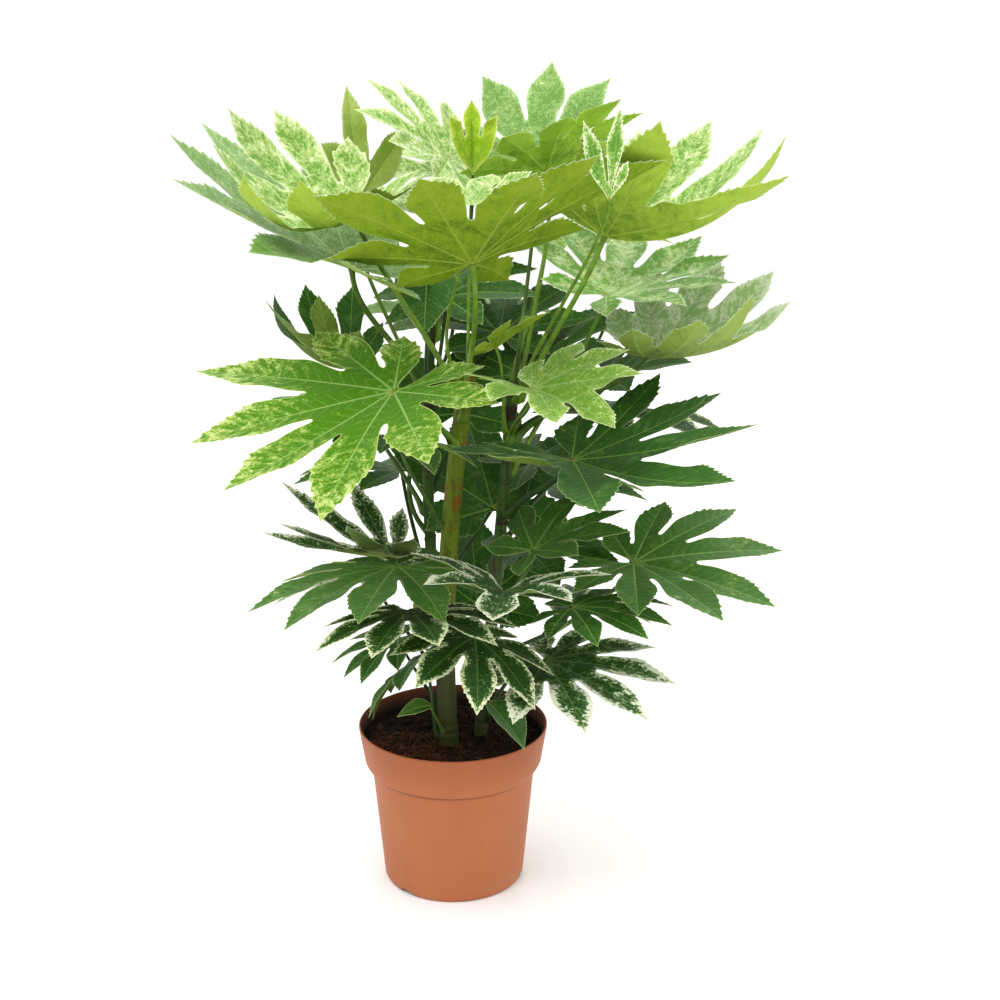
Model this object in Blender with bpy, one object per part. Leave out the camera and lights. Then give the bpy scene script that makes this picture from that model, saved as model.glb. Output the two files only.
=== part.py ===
"""Variegated fatsia in a plastic nursery pot.

Metres, +Z up, the pot's foot on z = 0, the photographed side towards -Y. Places are measured from the
pot's axis; at the end the whole plant is moved so that the middle of its box stands on the origin.
"""
import math

import bmesh
import bpy
import numpy as np
from mathutils import Matrix, Vector, geometry

for old in list(bpy.data.objects):
    bpy.data.objects.remove(old)

GAP = 0.0003

# pot
POT_HEIGHT = 0.210
RIM_RADIUS = 0.120
BAND_RADIUS = 0.1125
BAND_HEIGHT = 0.048
BODY_RADIUS = 0.1035
FOOT_RADIUS = 0.0895
WALL = 0.0028
LIP = 0.0016
FLOOR = 0.0105
FLOOR_THICKNESS = 0.0025
SIDES = 48
NOTCH_COUNT = 3
NOTCH_TURN = 229
NOTCH_WIDTH = 0.026
NOTCH_HEIGHT = 0.0070
DRAIN_COUNT = 6
DRAIN_RADIUS = 0.0045
DRAIN_RING = 0.055

# soil
SOIL_EDGE = 0.1895
SOIL_MOUND = 0.0030
SOIL_BUMPS = 0.0010

# stems: each passes through four places and thins from its foot to its top
STEM_FOOT = 0.14
STEM_SIDES = 10
STEM_STEPS = 10
STEMS = {
    1: {"thick": 0.0130, "thin": 0.0100,
        "route": ((0.0, -0.03, 0.14), (-0.008, -0.025, 0.30), (-0.002, -0.02, 0.46), (0.02, -0.01, 0.66))},
    2: {"thick": 0.0085, "thin": 0.0070,
        "route": ((0.030, 0.0, 0.14), (0.045, 0.0, 0.30), (0.060, 0.0, 0.46), (0.075, 0.0, 0.64))},
    3: {"thick": 0.0080, "thin": 0.0065,
        "route": ((0.0, 0.045, 0.14), (-0.020, 0.055, 0.30), (-0.030, 0.060, 0.48), (-0.025, 0.055, 0.70))},
}

# leaves: lobes beside the middle one, as degrees from it and share of its length
SIDE_LOBES = {
    9: ((30, 0.98), (62, 0.88), (97, 0.70), (138, 0.45)),
    7: ((36, 0.97), (76, 0.82), (125, 0.55)),
    5: ((52, 0.88), (110, 0.60)),
    3: ((24, 0.88),),
    1: (),
}
# half width of a full-length lobe, as a share of the leaf's reach
LOBE_WIDTH = {9: 0.140, 7: 0.165, 5: 0.205, 3: 0.160, 1: 0.32}
# points along a lobe's side: share of the way from sinus to tip, share of the half width
LOBE_SIDE = ((0.32, 1.0), (0.68, 0.70))
SHORT_LOBE_SIDE = ((0.45, 0.88),)
OVAL_SIDE = ((0.15, 0.62), (0.42, 1.0), (0.72, 0.62))
SHORT_LOBE = 0.6
WIDEST_ROOM = 60
ROOM_USED = 0.9
SINUS = 0.43
BACK_SINUS = 0.16
NOTCH = 0.035
OVAL_FOOT = 0.06
MIDRIB = (0.36, 0.70)
FOLD = 0.25
BLADE = 0.0008
STALK_SIDES = 5
STALK_STEPS = 6
STALK_SPREAD = 1.35

TONES = {
    "leaf_pale": (0.50, 0.62, 0.30),
    "leaf_bright": (0.25, 0.46, 0.08),
    "leaf_green": (0.10, 0.27, 0.07),
    "leaf_dark": (0.030, 0.115, 0.035),
    "leaf_edged": (0.20, 0.33, 0.17),
    "stem": (0.21, 0.30, 0.06),
    "soil": (0.022, 0.012, 0.008),
    "pot": (0.60, 0.18, 0.07),
}
ROUGHNESS = {"stem": 0.50, "soil": 0.95, "pot": 0.60}
LEAF_ROUGHNESS = 0.42


class Leaf:
    """One leaf. Angles are in degrees and lengths in metres.

    foot is the height at which its stalk leaves the stem, hub the place where stalk and blade meet.
    heading is the middle lobe's way seen from above, rise its slope and roll the blade's lean about it.
    reach is the middle lobe's length. cup lifts the lobes beside it, droop bends all lobes down.
    curl and stretch change single lobes, counted from the middle one, with minus to its right.
    web is the share of a lobe's length at which the sinus beside it ends, breadth widens all lobes and
    taper narrows them towards their tips.
    swing turns the stalk's foot about the stem, bow bends its start, lift squares its end to the blade.
    """

    def __init__(self, name, tone, lobes, stem, foot, hub, heading, rise, reach, roll=0, cup=10, droop=35,
                 curl=None, stretch=None, web=SINUS, breadth=1.0, taper=0.0, swing=0,
                 bow=(0, 0, 0), lift=1.0):
        self.name = name
        self.tone = tone
        self.lobes = lobes
        self.stem = stem
        self.foot = foot
        self.hub = hub
        self.heading = heading
        self.rise = rise
        self.roll = roll
        self.reach = reach
        self.cup = cup
        self.droop = droop
        self.web = web
        self.breadth = breadth
        self.taper = taper
        self.swing = swing
        self.bow = bow
        self.lift = lift
        middle = lobes // 2
        right = [(-angle, share) for angle, share in reversed(SIDE_LOBES[lobes])]
        fan = right + [(0, 1.0)] + list(SIDE_LOBES[lobes])
        self.angles = [angle for angle, share in fan]
        self.usual = [share for angle, share in fan]
        self.lengths = [share * (stretch or {}).get(i - middle, 1.0) for i, share in enumerate(self.usual)]
        self.curls = [(curl or {}).get(i - middle, 0) for i in range(lobes)]
        self.stalk = 0.0010 + 0.0075 * reach


TOP_LEAVES = (
    # the two wide leaves at the left, the outer one muted and the inner one cream
    Leaf("leaf_top_01", "leaf_green", 9, stem=3, foot=0.635, hub=(-0.110, -0.055, 0.800), heading=180,
         rise=25, roll=-5, reach=0.255, cup=15, droop=-5, curl={0: -20, 2: 20}, stretch={-1: 1.1}),
    Leaf("leaf_top_02", "leaf_pale", 9, stem=1, foot=0.650, hub=(-0.105, -0.090, 0.870), heading=225,
         rise=-25, roll=-15, reach=0.210, cup=25, droop=-45,
         curl={-4: -10, -3: 10, -2: -15, -1: -25, 0: -45, 1: -25, 3: 10}, swing=-20),
    # the one in front, seen from below
    Leaf("leaf_top_03", "leaf_bright", 9, stem=1, foot=0.615, hub=(0.030, -0.170, 0.825), heading=-70,
         rise=35, roll=5, reach=0.225, cup=20, droop=15,
         curl={-2: -10, -1: -10, 0: -10, 1: -10, 3: 10, 4: 30}, stretch={-2: 1.1, -1: 0.9, 1: 0.9, 2: 1.2},
         web=0.48),
    # the three at the right, from the cup-shaped one down
    Leaf("leaf_top_04", "leaf_pale", 9, stem=2, foot=0.635, hub=(0.180, -0.040, 0.835), heading=-20,
         rise=-10, roll=-5, reach=0.235, cup=35, droop=-35, curl={-1: 20, 0: -40, 1: -20},
         stretch={-1: 1.2, 0: 1.1}, web=0.46),
    Leaf("leaf_top_05", "leaf_pale", 9, stem=2, foot=0.540, hub=(0.185, -0.005, 0.760), heading=45,
         rise=5, roll=10, reach=0.180, cup=20, droop=5, curl={-4: 40, -3: 10, -1: -20, 0: -30},
         stretch={-3: 1.1, -1: 0.9}, swing=40),
    Leaf("leaf_top_06", "leaf_green", 9, stem=2, foot=0.585, hub=(0.235, -0.020, 0.690), heading=-10,
         rise=-5, roll=10, reach=0.190, cup=20, droop=-45, curl={-1: -20, 0: -15, 2: 15}, web=0.60),
    # the young ones in the crown and those behind them
    Leaf("leaf_top_07", "leaf_bright", 3, stem=1, foot=0.655, hub=(0.030, -0.105, 0.915), heading=95,
         rise=75, reach=0.080, cup=45, droop=-10, web=0.58, breadth=0.8),
    Leaf("leaf_top_08", "leaf_green", 7, stem=2, foot=0.635, hub=(0.105, 0.120, 0.895), heading=75,
         rise=60, reach=0.145, cup=15, droop=5, web=0.44, breadth=1.25, lift=0.4, taper=0.45),
    Leaf("leaf_top_09", "leaf_pale", 9, stem=3, foot=0.696, hub=(0.000, 0.040, 0.915), heading=170,
         rise=45, roll=-10, reach=0.135, cup=10, droop=15, curl={0: -10, 1: 10}, breadth=1.1, swing=40),
    Leaf("leaf_top_10", "leaf_bright", 5, stem=3, foot=0.620, hub=(-0.105, 0.035, 0.870), heading=150,
         rise=80, reach=0.130, cup=10, droop=-5, stretch={-2: 0.7, 2: 0.7}, web=0.40, breadth=0.85),
    Leaf("leaf_top_11", "leaf_bright", 9, stem=2, foot=0.635, hub=(0.115, 0.025, 0.900), heading=-85,
         rise=40, roll=20, reach=0.150, cup=10, droop=20),
    Leaf("leaf_top_12", "leaf_pale", 3, stem=2, foot=0.635, hub=(0.175, -0.200, 0.900), heading=69,
         rise=70, reach=0.100, cup=20, droop=0, stretch={-1: 0.5}, web=0.20, breadth=0.65),
    Leaf("leaf_top_13", "leaf_pale", 5, stem=1, foot=0.655, hub=(0.030, -0.205, 0.895), heading=75,
         rise=15, reach=0.085, cup=10, droop=0, curl={-2: -20, -1: -20}, swing=-30, bow=(-0.4, 0, 0)),
)

UPPER_LEAVES = (
    Leaf("leaf_upper_1", "leaf_dark", 1, stem=3, foot=0.645, hub=(-0.025, 0.030, 0.795), heading=-95,
         rise=-45, reach=0.100, droop=20, breadth=1.1),
    Leaf("leaf_upper_2", "leaf_dark", 7, stem=3, foot=0.595, hub=(-0.125, 0.020, 0.665), heading=165,
         rise=0, roll=5, reach=0.140, cup=40, droop=-45, curl={0: -40, 1: 10}),
    Leaf("leaf_upper_3", "leaf_dark", 7, stem=2, foot=0.620, hub=(0.085, 0.100, 0.640), heading=50,
         rise=20, roll=-10, reach=0.180, cup=15, droop=10, curl={-3: 20, -2: 10, 0: -10}),
    Leaf("leaf_upper_4", "leaf_dark", 7, stem=3, foot=0.610, hub=(0.060, 0.150, 0.680), heading=85,
         rise=25, reach=0.150, droop=15),
    Leaf("leaf_upper_5", "leaf_bright", 5, stem=2, foot=0.595, hub=(0.055, -0.020, 0.700), heading=-10,
         rise=40, roll=-10, reach=0.080, cup=15, droop=10),
    Leaf("leaf_upper_6", "leaf_dark", 9, stem=2, foot=0.585, hub=(0.195, 0.095, 0.635), heading=20,
         rise=25, roll=-10, reach=0.165, cup=5, droop=15),
    Leaf("leaf_upper_7", "leaf_green", 7, stem=1, foot=0.480, hub=(-0.060, -0.050, 0.595), heading=-60,
         rise=15, roll=-15, reach=0.115, cup=5, droop=35, curl={0: 10, 3: 10}),
)

MIDDLE_LEAVES = (
    # the big mottled one at the left and the light one right of the middle
    Leaf("leaf_middle_1", "leaf_bright", 9, stem=1, foot=0.585, hub=(-0.060, -0.135, 0.675), heading=220,
         rise=-20, roll=-5, reach=0.240, droop=5, curl={0: -10, 1: 10}, stretch={-2: 1.2}),
    Leaf("leaf_middle_2", "leaf_bright", 9, stem=2, foot=0.585, hub=(0.095, -0.165, 0.685), heading=-50,
         rise=0, roll=5, reach=0.135, cup=25, droop=15, curl={-3: -10, -2: 10, -1: 10, 1: -10}, web=0.64,
         breadth=1.1),
    # the two dark ones at the right
    Leaf("leaf_middle_3", "leaf_dark", 9, stem=2, foot=0.490, hub=(0.145, -0.065, 0.575), heading=-55,
         rise=0, roll=5, reach=0.245, cup=15, droop=-5,
         curl={-2: -10, -1: 10, 0: -10, 1: -10, 2: -10, 3: -20}, stretch={0: 1.2, 2: 0.9}),
    Leaf("leaf_middle_4", "leaf_dark", 9, stem=2, foot=0.265, hub=(0.225, -0.005, 0.425), heading=-30,
         rise=0, roll=10, reach=0.190, cup=15, droop=15),
    # the dark one and the speckled one at the left
    Leaf("leaf_middle_5", "leaf_dark", 9, stem=1, foot=0.345, hub=(-0.065, -0.060, 0.440), heading=230,
         rise=5, roll=5, reach=0.195, cup=0, droop=25, curl={1: -10}, stretch={-2: 0.9}),
    Leaf("leaf_middle_6", "leaf_edged", 9, stem=3, foot=0.330, hub=(-0.075, 0.050, 0.412), heading=185,
         rise=7, roll=0, reach=0.190, cup=25, droop=-15,
         stretch={-4: 0.5, -3: 0.7, -2: 0.85, 0: 0.9, 4: 0.5}, web=0.30, breadth=0.78),
    # two smaller ones right of the middle
    Leaf("leaf_middle_7", "leaf_green", 7, stem=2, foot=0.365, hub=(0.100, -0.060, 0.460), heading=20,
         rise=25, reach=0.130, cup=15, droop=15, curl={-1: 10}),
    Leaf("leaf_middle_8", "leaf_dark", 9, stem=2, foot=0.290, hub=(0.145, -0.095, 0.400), heading=-15,
         rise=10, reach=0.125, cup=5, droop=30, stretch={1: 1.1}),
)

LOW_LEAVES = (
    Leaf("leaf_low_1", "leaf_edged", 7, stem=1, foot=0.340, hub=(0.065, -0.160, 0.445), heading=-95,
         rise=10, roll=-5, reach=0.145, cup=25, droop=15, curl={0: -10}, stretch={2: 1.1}),
    Leaf("leaf_low_2", "leaf_edged", 7, stem=1, foot=0.300, hub=(0.030, -0.125, 0.375), heading=-85,
         rise=-5, roll=-10, reach=0.130, cup=0, curl={-1: -10}),
    Leaf("leaf_low_3", "leaf_edged", 9, stem=2, foot=0.240, hub=(0.115, -0.090, 0.330), heading=-45,
         rise=0, roll=5, reach=0.165, cup=5, droop=20, swing=-20, bow=(0.2, 0, -0.4)),
    Leaf("leaf_low_4", "leaf_dark", 9, stem=3, foot=0.205, hub=(-0.070, 0.035, 0.310), heading=210,
         rise=-10, roll=5, reach=0.100, droop=35, stretch={0: 0.9}),
    Leaf("leaf_low_5", "leaf_edged", 9, stem=1, foot=0.375, hub=(-0.045, -0.130, 0.410), heading=-75,
         rise=10, reach=0.150, cup=0, droop=20, curl={0: -10}, stretch={-2: 1.1}),
    Leaf("leaf_low_6", "leaf_dark", 7, stem=1, foot=0.205, hub=(-0.035, -0.020, 0.305), heading=175,
         rise=-30, reach=0.110, droop=45, roll=10, swing=20),
    # the two plain ovals just above the soil
    Leaf("leaf_low_7", "leaf_green", 1, stem=1, foot=0.215, hub=(-0.025, -0.065, 0.260), heading=195,
         rise=0, roll=-10, reach=0.045, cup=5, droop=30),
    Leaf("leaf_low_8", "leaf_dark", 1, stem=2, foot=0.215, hub=(0.045, -0.055, 0.260), heading=-35,
         rise=-30, roll=-15, reach=0.075, cup=0, droop=20, breadth=1.5, swing=40),
)

INNER_LEAVES = (
    Leaf("leaf_inner_1", "leaf_dark", 7, stem=3, foot=0.595, hub=(-0.010, 0.110, 0.735), heading=70,
         rise=25, roll=-5, reach=0.150, cup=5),
    Leaf("leaf_inner_2", "leaf_dark", 7, stem=3, foot=0.480, hub=(-0.080, 0.210, 0.565), heading=200,
         rise=5, reach=0.140, cup=15, droop=45, bow=(0, 0.4, 0)),
    Leaf("leaf_inner_3", "leaf_dark", 7, stem=2, foot=0.420, hub=(0.100, 0.080, 0.530), heading=20,
         rise=10, reach=0.160),
    Leaf("leaf_inner_4", "leaf_dark", 7, stem=2, foot=0.290, hub=(0.090, 0.090, 0.410), heading=5,
         rise=10, reach=0.160),
    Leaf("leaf_inner_5", "leaf_dark", 5, stem=3, foot=0.365, hub=(0.050, 0.095, 0.465), heading=105,
         rise=40, roll=5, reach=0.175, droop=15),
    Leaf("leaf_inner_6", "leaf_dark", 5, stem=2, foot=0.250, hub=(0.030, 0.115, 0.325), heading=95,
         rise=40, reach=0.150, droop=10),
    Leaf("leaf_inner_7", "leaf_dark", 5, stem=3, foot=0.500, hub=(0.010, 0.095, 0.590), heading=80,
         rise=30, reach=0.155, droop=10),
)

BACK_LEAVES = (
    Leaf("leaf_back_01", "leaf_pale", 9, stem=3, foot=0.695, hub=(-0.080, 0.170, 0.840), heading=120,
         rise=10, reach=0.190),
    Leaf("leaf_back_02", "leaf_bright", 9, stem=2, foot=0.625, hub=(0.120, 0.200, 0.800), heading=60,
         rise=5, reach=0.190, swing=40),
    Leaf("leaf_back_03", "leaf_green", 7, stem=3, foot=0.435, hub=(0.000, 0.215, 0.690), heading=95,
         rise=5, reach=0.190, curl={-3: 20}, bow=(-1, 0, 0)),
    Leaf("leaf_back_04", "leaf_green", 7, stem=3, foot=0.470, hub=(-0.120, 0.140, 0.600), heading=150,
         rise=0, reach=0.170),
    Leaf("leaf_back_05", "leaf_edged", 7, stem=2, foot=0.445, hub=(0.195, 0.165, 0.570), heading=45,
         rise=0, reach=0.180),
    Leaf("leaf_back_06", "leaf_dark", 7, stem=3, foot=0.340, hub=(-0.070, 0.180, 0.490), heading=115,
         rise=0, reach=0.180),
    Leaf("leaf_back_07", "leaf_dark", 7, stem=2, foot=0.405, hub=(0.120, 0.170, 0.470), heading=65,
         rise=0, reach=0.170),
    Leaf("leaf_back_08", "leaf_edged", 7, stem=3, foot=0.250, hub=(-0.110, 0.110, 0.370), heading=155,
         rise=-5, reach=0.140),
    Leaf("leaf_back_09", "leaf_dark", 7, stem=3, foot=0.215, hub=(0.020, 0.190, 0.345), heading=95,
         rise=-5, reach=0.150, droop=30),
    Leaf("leaf_back_10", "leaf_edged", 7, stem=2, foot=0.220, hub=(0.140, 0.090, 0.340), heading=35,
         rise=-5, reach=0.130),
    Leaf("leaf_back_11", "leaf_bright", 7, stem=3, foot=0.695, hub=(0.020, 0.135, 0.880), heading=110,
         rise=25, reach=0.160),
    Leaf("leaf_back_12", "leaf_green", 7, stem=2, foot=0.590, hub=(0.200, 0.235, 0.680), heading=35,
         rise=0, roll=-5, reach=0.150, cup=5, droop=30),
)


def material(slot):
    found = bpy.data.materials.get(slot)
    if found:
        return found
    made = bpy.data.materials.new(slot)
    made.use_nodes = True
    shader = made.node_tree.nodes["Principled BSDF"]
    shader.inputs["Base Color"].default_value = (*TONES[slot], 1.0)
    shader.inputs["Roughness"].default_value = ROUGHNESS.get(slot, LEAF_ROUGHNESS)
    shader.inputs["Metallic"].default_value = 0.0
    return made


def add_object(name, mesh, slot, parent):
    mesh.materials.append(material(slot))
    piece = bpy.data.objects.new(name, mesh)
    piece.parent = parent
    bpy.context.scene.collection.objects.link(piece)
    return piece


def mesh_from(name, points, faces):
    mesh = bpy.data.meshes.new(name)
    mesh.from_pydata([tuple(point) for point in points], [], faces)
    mesh.update()
    return mesh


def turned(name, profile):
    """A closed body turned about the Z axis from (radius, height) points that start and end on it."""
    bm = bmesh.new()
    verts = [bm.verts.new((radius, 0, height)) for radius, height in profile]
    edges = [bm.edges.new(pair) for pair in zip(verts, verts[1:])]
    bmesh.ops.spin(bm, geom=verts + edges, cent=(0, 0, 0), axis=(0, 0, 1), dvec=(0, 0, 0),
                   angle=2 * math.pi, steps=SIDES, use_merge=True, use_duplicate=False)
    bmesh.ops.remove_doubles(bm, verts=bm.verts, dist=1e-6)
    bmesh.ops.recalc_face_normals(bm, faces=bm.faces)
    mesh = bpy.data.meshes.new(name)
    bm.to_mesh(mesh)
    bm.free()
    return mesh


def shade_round(mesh):
    mesh.shade_smooth()
    mesh.set_sharp_from_angle(angle=math.radians(35))


def cut(piece, cutter):
    cutter.hide_render = True
    cutter.display_type = "WIRE"
    modifier = piece.modifiers.new("cut", "BOOLEAN")
    modifier.operation = "DIFFERENCE"
    modifier.solver = "EXACT"
    modifier.object = cutter


def pot_outside():
    band_foot = POT_HEIGHT - BAND_HEIGHT
    return [(FOOT_RADIUS - 0.003, 0), (FOOT_RADIUS, 0.004), (BODY_RADIUS, band_foot - 0.010),
            (BAND_RADIUS - 0.0045, band_foot - 0.008), (BAND_RADIUS, band_foot),
            (RIM_RADIUS, POT_HEIGHT - LIP), (RIM_RADIUS - LIP, POT_HEIGHT)]


def pot_inside(shrink=0.0):
    """The inner wall from the rim down to the floor, or a surface that stands off it by shrink."""
    band_foot = POT_HEIGHT - BAND_HEIGHT
    return [(RIM_RADIUS - WALL - shrink, POT_HEIGHT - LIP),
            (BAND_RADIUS - WALL - shrink, band_foot + shrink),
            (BODY_RADIUS - WALL - shrink, band_foot - 0.010 + shrink),
            (FOOT_RADIUS - WALL - shrink, FLOOR + shrink)]


def make_pot(parent):
    under = FLOOR - FLOOR_THICKNESS
    skirt = FOOT_RADIUS - 0.0065
    profile = [(0, under), (skirt, under), (skirt, 0)] + pot_outside() + pot_inside() + [(0, FLOOR)]
    mesh = turned("pot", profile)
    shade_round(mesh)
    pot = add_object("pot", mesh, "pot", parent)
    cut(pot, pot_cutter(parent))
    return pot


def pot_cutter(parent):
    """Arches through the foot's skirt and round drain holes through the floor."""
    bm = bmesh.new()
    for i in range(NOTCH_COUNT):
        turn = Matrix.Rotation(math.radians(NOTCH_TURN + i * 360 / NOTCH_COUNT), 4, "Z")
        out = Matrix.Translation((FOOT_RADIUS, 0, 0)) @ Matrix.Rotation(math.pi / 2, 4, "Y")
        arch = bmesh.ops.create_cone(bm, cap_ends=True, segments=20, radius1=1, radius2=1, depth=0.024)
        size = Matrix.Diagonal((NOTCH_HEIGHT, NOTCH_WIDTH / 2, 1, 1))
        bmesh.ops.transform(bm, matrix=turn @ out @ size, verts=arch["verts"])
    for i in range(DRAIN_COUNT):
        turn = Matrix.Rotation(math.radians(i * 360 / DRAIN_COUNT), 4, "Z")
        place = turn @ Matrix.Translation((DRAIN_RING, 0, FLOOR))
        bmesh.ops.create_cone(bm, cap_ends=True, segments=12, radius1=DRAIN_RADIUS, radius2=DRAIN_RADIUS,
                              depth=4 * FLOOR_THICKNESS, matrix=place)
    mesh = bpy.data.meshes.new("pot_cutter")
    bm.to_mesh(mesh)
    bm.free()
    return add_object("pot_cutter", mesh, "pot", parent)


def soil_top(radius, angle):
    """Height of the soil: a low mound with waves that fade out at the pot's wall."""
    share = radius / RIM_RADIUS
    waves = math.sin(3 * angle + 40 * radius) + math.sin(5 * angle - 70 * radius)
    return SOIL_EDGE + SOIL_MOUND * (1 - share ** 4) + SOIL_BUMPS * waves * share * (1 - share ** 3)


def make_soil(parent):
    wall = pot_inside(shrink=GAP)
    rim, band = wall[0], wall[1]
    share = (SOIL_EDGE - band[1]) / (rim[1] - band[1])
    edge = (band[0] + (rim[0] - band[0]) * share, SOIL_EDGE)
    rings = [(edge[0] * part, SOIL_EDGE) for part in (0.38, 0.72)]
    profile = [(0, FLOOR + GAP)] + wall[:0:-1] + [edge] + rings[::-1] + [(0, SOIL_EDGE)]
    mesh = turned("soil", profile)
    for vertex in mesh.vertices:
        radius = math.hypot(vertex.co.x, vertex.co.y)
        if vertex.co.z > SOIL_EDGE - 1e-5 and radius < edge[0] - 0.001:
            vertex.co.z = soil_top(radius, math.atan2(vertex.co.y, vertex.co.x))
    soil = add_object("soil", mesh, "soil", parent)
    for number in STEMS:
        points, faces = stem_body(number, grow=GAP)
        cut(soil, add_object(f"stem_{number}_hole", mesh_from("hole", points, faces), "soil", parent))
    return soil


def stem_at(number, height):
    """Centre and radius of a stem at a height; its route is the cubic through its four places."""
    stem = STEMS[number]
    route = np.array(stem["route"])
    foot, top = route[0, 2], route[-1, 2]
    x = np.polyval(np.polyfit(route[:, 2], route[:, 0], 3), height)
    y = np.polyval(np.polyfit(route[:, 2], route[:, 1], 3), height)
    share = min(max((height - foot) / (top - foot), 0), 1)
    return np.array([x, y, height]), stem["thick"] + (stem["thin"] - stem["thick"]) * share


def stem_clearance(number, place):
    """Level distance from a place to the many-sided surface of a stem."""
    centre, radius = stem_at(number, place[2])
    away = math.atan2(place[1] - centre[1], place[0] - centre[0])
    corner = 2 * math.pi / STEM_SIDES
    surface = radius * math.cos(corner / 2) / math.cos(away % corner - corner / 2)
    return math.hypot(place[0] - centre[0], place[1] - centre[1]) - surface


def stem_body(number, grow=0.0):
    top = STEMS[number]["route"][-1][2]
    points, faces = [], []
    for step, height in enumerate(np.linspace(STEM_FOOT - grow, top, STEM_STEPS + 1)):
        centre, radius = stem_at(number, height)
        for side in range(STEM_SIDES):
            angle = 2 * math.pi * side / STEM_SIDES
            way = np.array([math.cos(angle), math.sin(angle), 0])
            points.append(centre + way * (radius + grow))
        if step:
            low = (step - 1) * STEM_SIDES
            for side in range(STEM_SIDES):
                after = (side + 1) % STEM_SIDES
                faces.append((low + side, low + after, low + STEM_SIDES + after, low + STEM_SIDES + side))
    faces.append(tuple(reversed(range(STEM_SIDES))))
    faces.append(tuple(range(len(points) - STEM_SIDES, len(points))))
    return points, faces


def make_stem(number, parent):
    mesh = mesh_from(f"stem_{number}", *stem_body(number))
    shade_round(mesh)
    return add_object(f"stem_{number}", mesh, "stem", parent)


def smooth_step(share):
    share = np.clip(share, 0, 1)
    return share * share * (3 - 2 * share)


def polar(radius, degrees):
    return radius * math.cos(math.radians(degrees)), radius * math.sin(math.radians(degrees))


def on_lobe(along, aside, degrees):
    """A flat point at a distance along a lobe's midrib and aside of it."""
    forth, side = polar(1, degrees)
    return along * forth - aside * side, along * side + aside * forth


def oval_outline(leaf):
    width = LOBE_WIDTH[1] * leaf.breadth
    right = [on_lobe(along, -aside * width, 0) for along, aside in OVAL_SIDE]
    left = [on_lobe(along, aside * width, 0) for along, aside in reversed(OVAL_SIDE)]
    return right + [(1.0, 0.0)] + left + [(-OVAL_FOOT, 0.0)]


def side_room(along, degrees):
    """How wide a lobe may be at a distance along it, for the angle that it has to itself on that side."""
    return ROOM_USED * along * math.tan(math.radians(degrees))


def leaf_outline(leaf):
    """Outline of the flat blade of reach 1, counter-clockwise from the back of its right side."""
    if leaf.lobes == 1:
        return oval_outline(leaf)
    points = []
    last = leaf.lobes - 1
    for i, (angle, length) in enumerate(zip(leaf.angles, leaf.lengths)):
        width = LOBE_WIDTH[leaf.lobes] * leaf.breadth * min(1.0, 0.5 + 0.5 * length)
        side = SHORT_LOBE_SIDE if leaf.usual[i] <= SHORT_LOBE else LOBE_SIDE
        before = leaf.web * min(length, leaf.lengths[i - 1]) if i else BACK_SINUS
        after = leaf.web * min(length, leaf.lengths[i + 1]) if i < last else BACK_SINUS
        room_before = (angle - leaf.angles[i - 1]) / 2 if i else min(180 + angle, WIDEST_ROOM)
        room_after = (leaf.angles[i + 1] - angle) / 2 if i < last else min(180 - angle, WIDEST_ROOM)
        for share, part in side:
            along = before + (length - before) * share
            half = min(part * width * (1 - leaf.taper * share), side_room(along, room_before))
            points.append(on_lobe(along, -half, angle))
        points.append(polar(length, angle))
        for share, part in reversed(side):
            along = after + (length - after) * share
            half = min(part * width * (1 - leaf.taper * share), side_room(along, room_after))
            points.append(on_lobe(along, half, angle))
        if i < last:
            points.append(polar(after, (angle + leaf.angles[i + 1]) / 2))
    points.append((-NOTCH, 0.0))
    return points


def leaf_net(leaf):
    """Flat points and triangles of the blade, with its outline, the ring round the stalk and the hub."""
    points = leaf_outline(leaf)
    outline = list(range(len(points)))
    edges = [(i, (i + 1) % len(outline)) for i in outline]
    ring_radius = min(leaf.stalk / leaf.reach, 0.027)
    ring = [len(points) + i for i in range(STALK_SIDES)]
    points += [polar(ring_radius, 180 + 360 * (i + 0.5) / STALK_SIDES) for i in range(STALK_SIDES)]
    edges += [(ring[i], ring[(i + 1) % STALK_SIDES]) for i in range(STALK_SIDES)]
    hub = len(points)
    points.append((0.0, 0.0))
    for angle, length in zip(leaf.angles, leaf.lengths):
        edges.append((len(points), len(points) + 1))
        points += [polar(length * share, angle) for share in MIDRIB]
    flat = [Vector(point) for point in points]
    verts, _, faces, origins, _, _ = geometry.delaunay_2d_cdt(flat, edges, [], 1, 1e-6)
    if len(verts) != len(points):
        raise ValueError(f"the outline of {leaf.name} crosses itself")
    faces = [[origins[i][0] for i in face] for face in faces]
    return np.array(points), faces, outline, ring, hub


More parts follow.
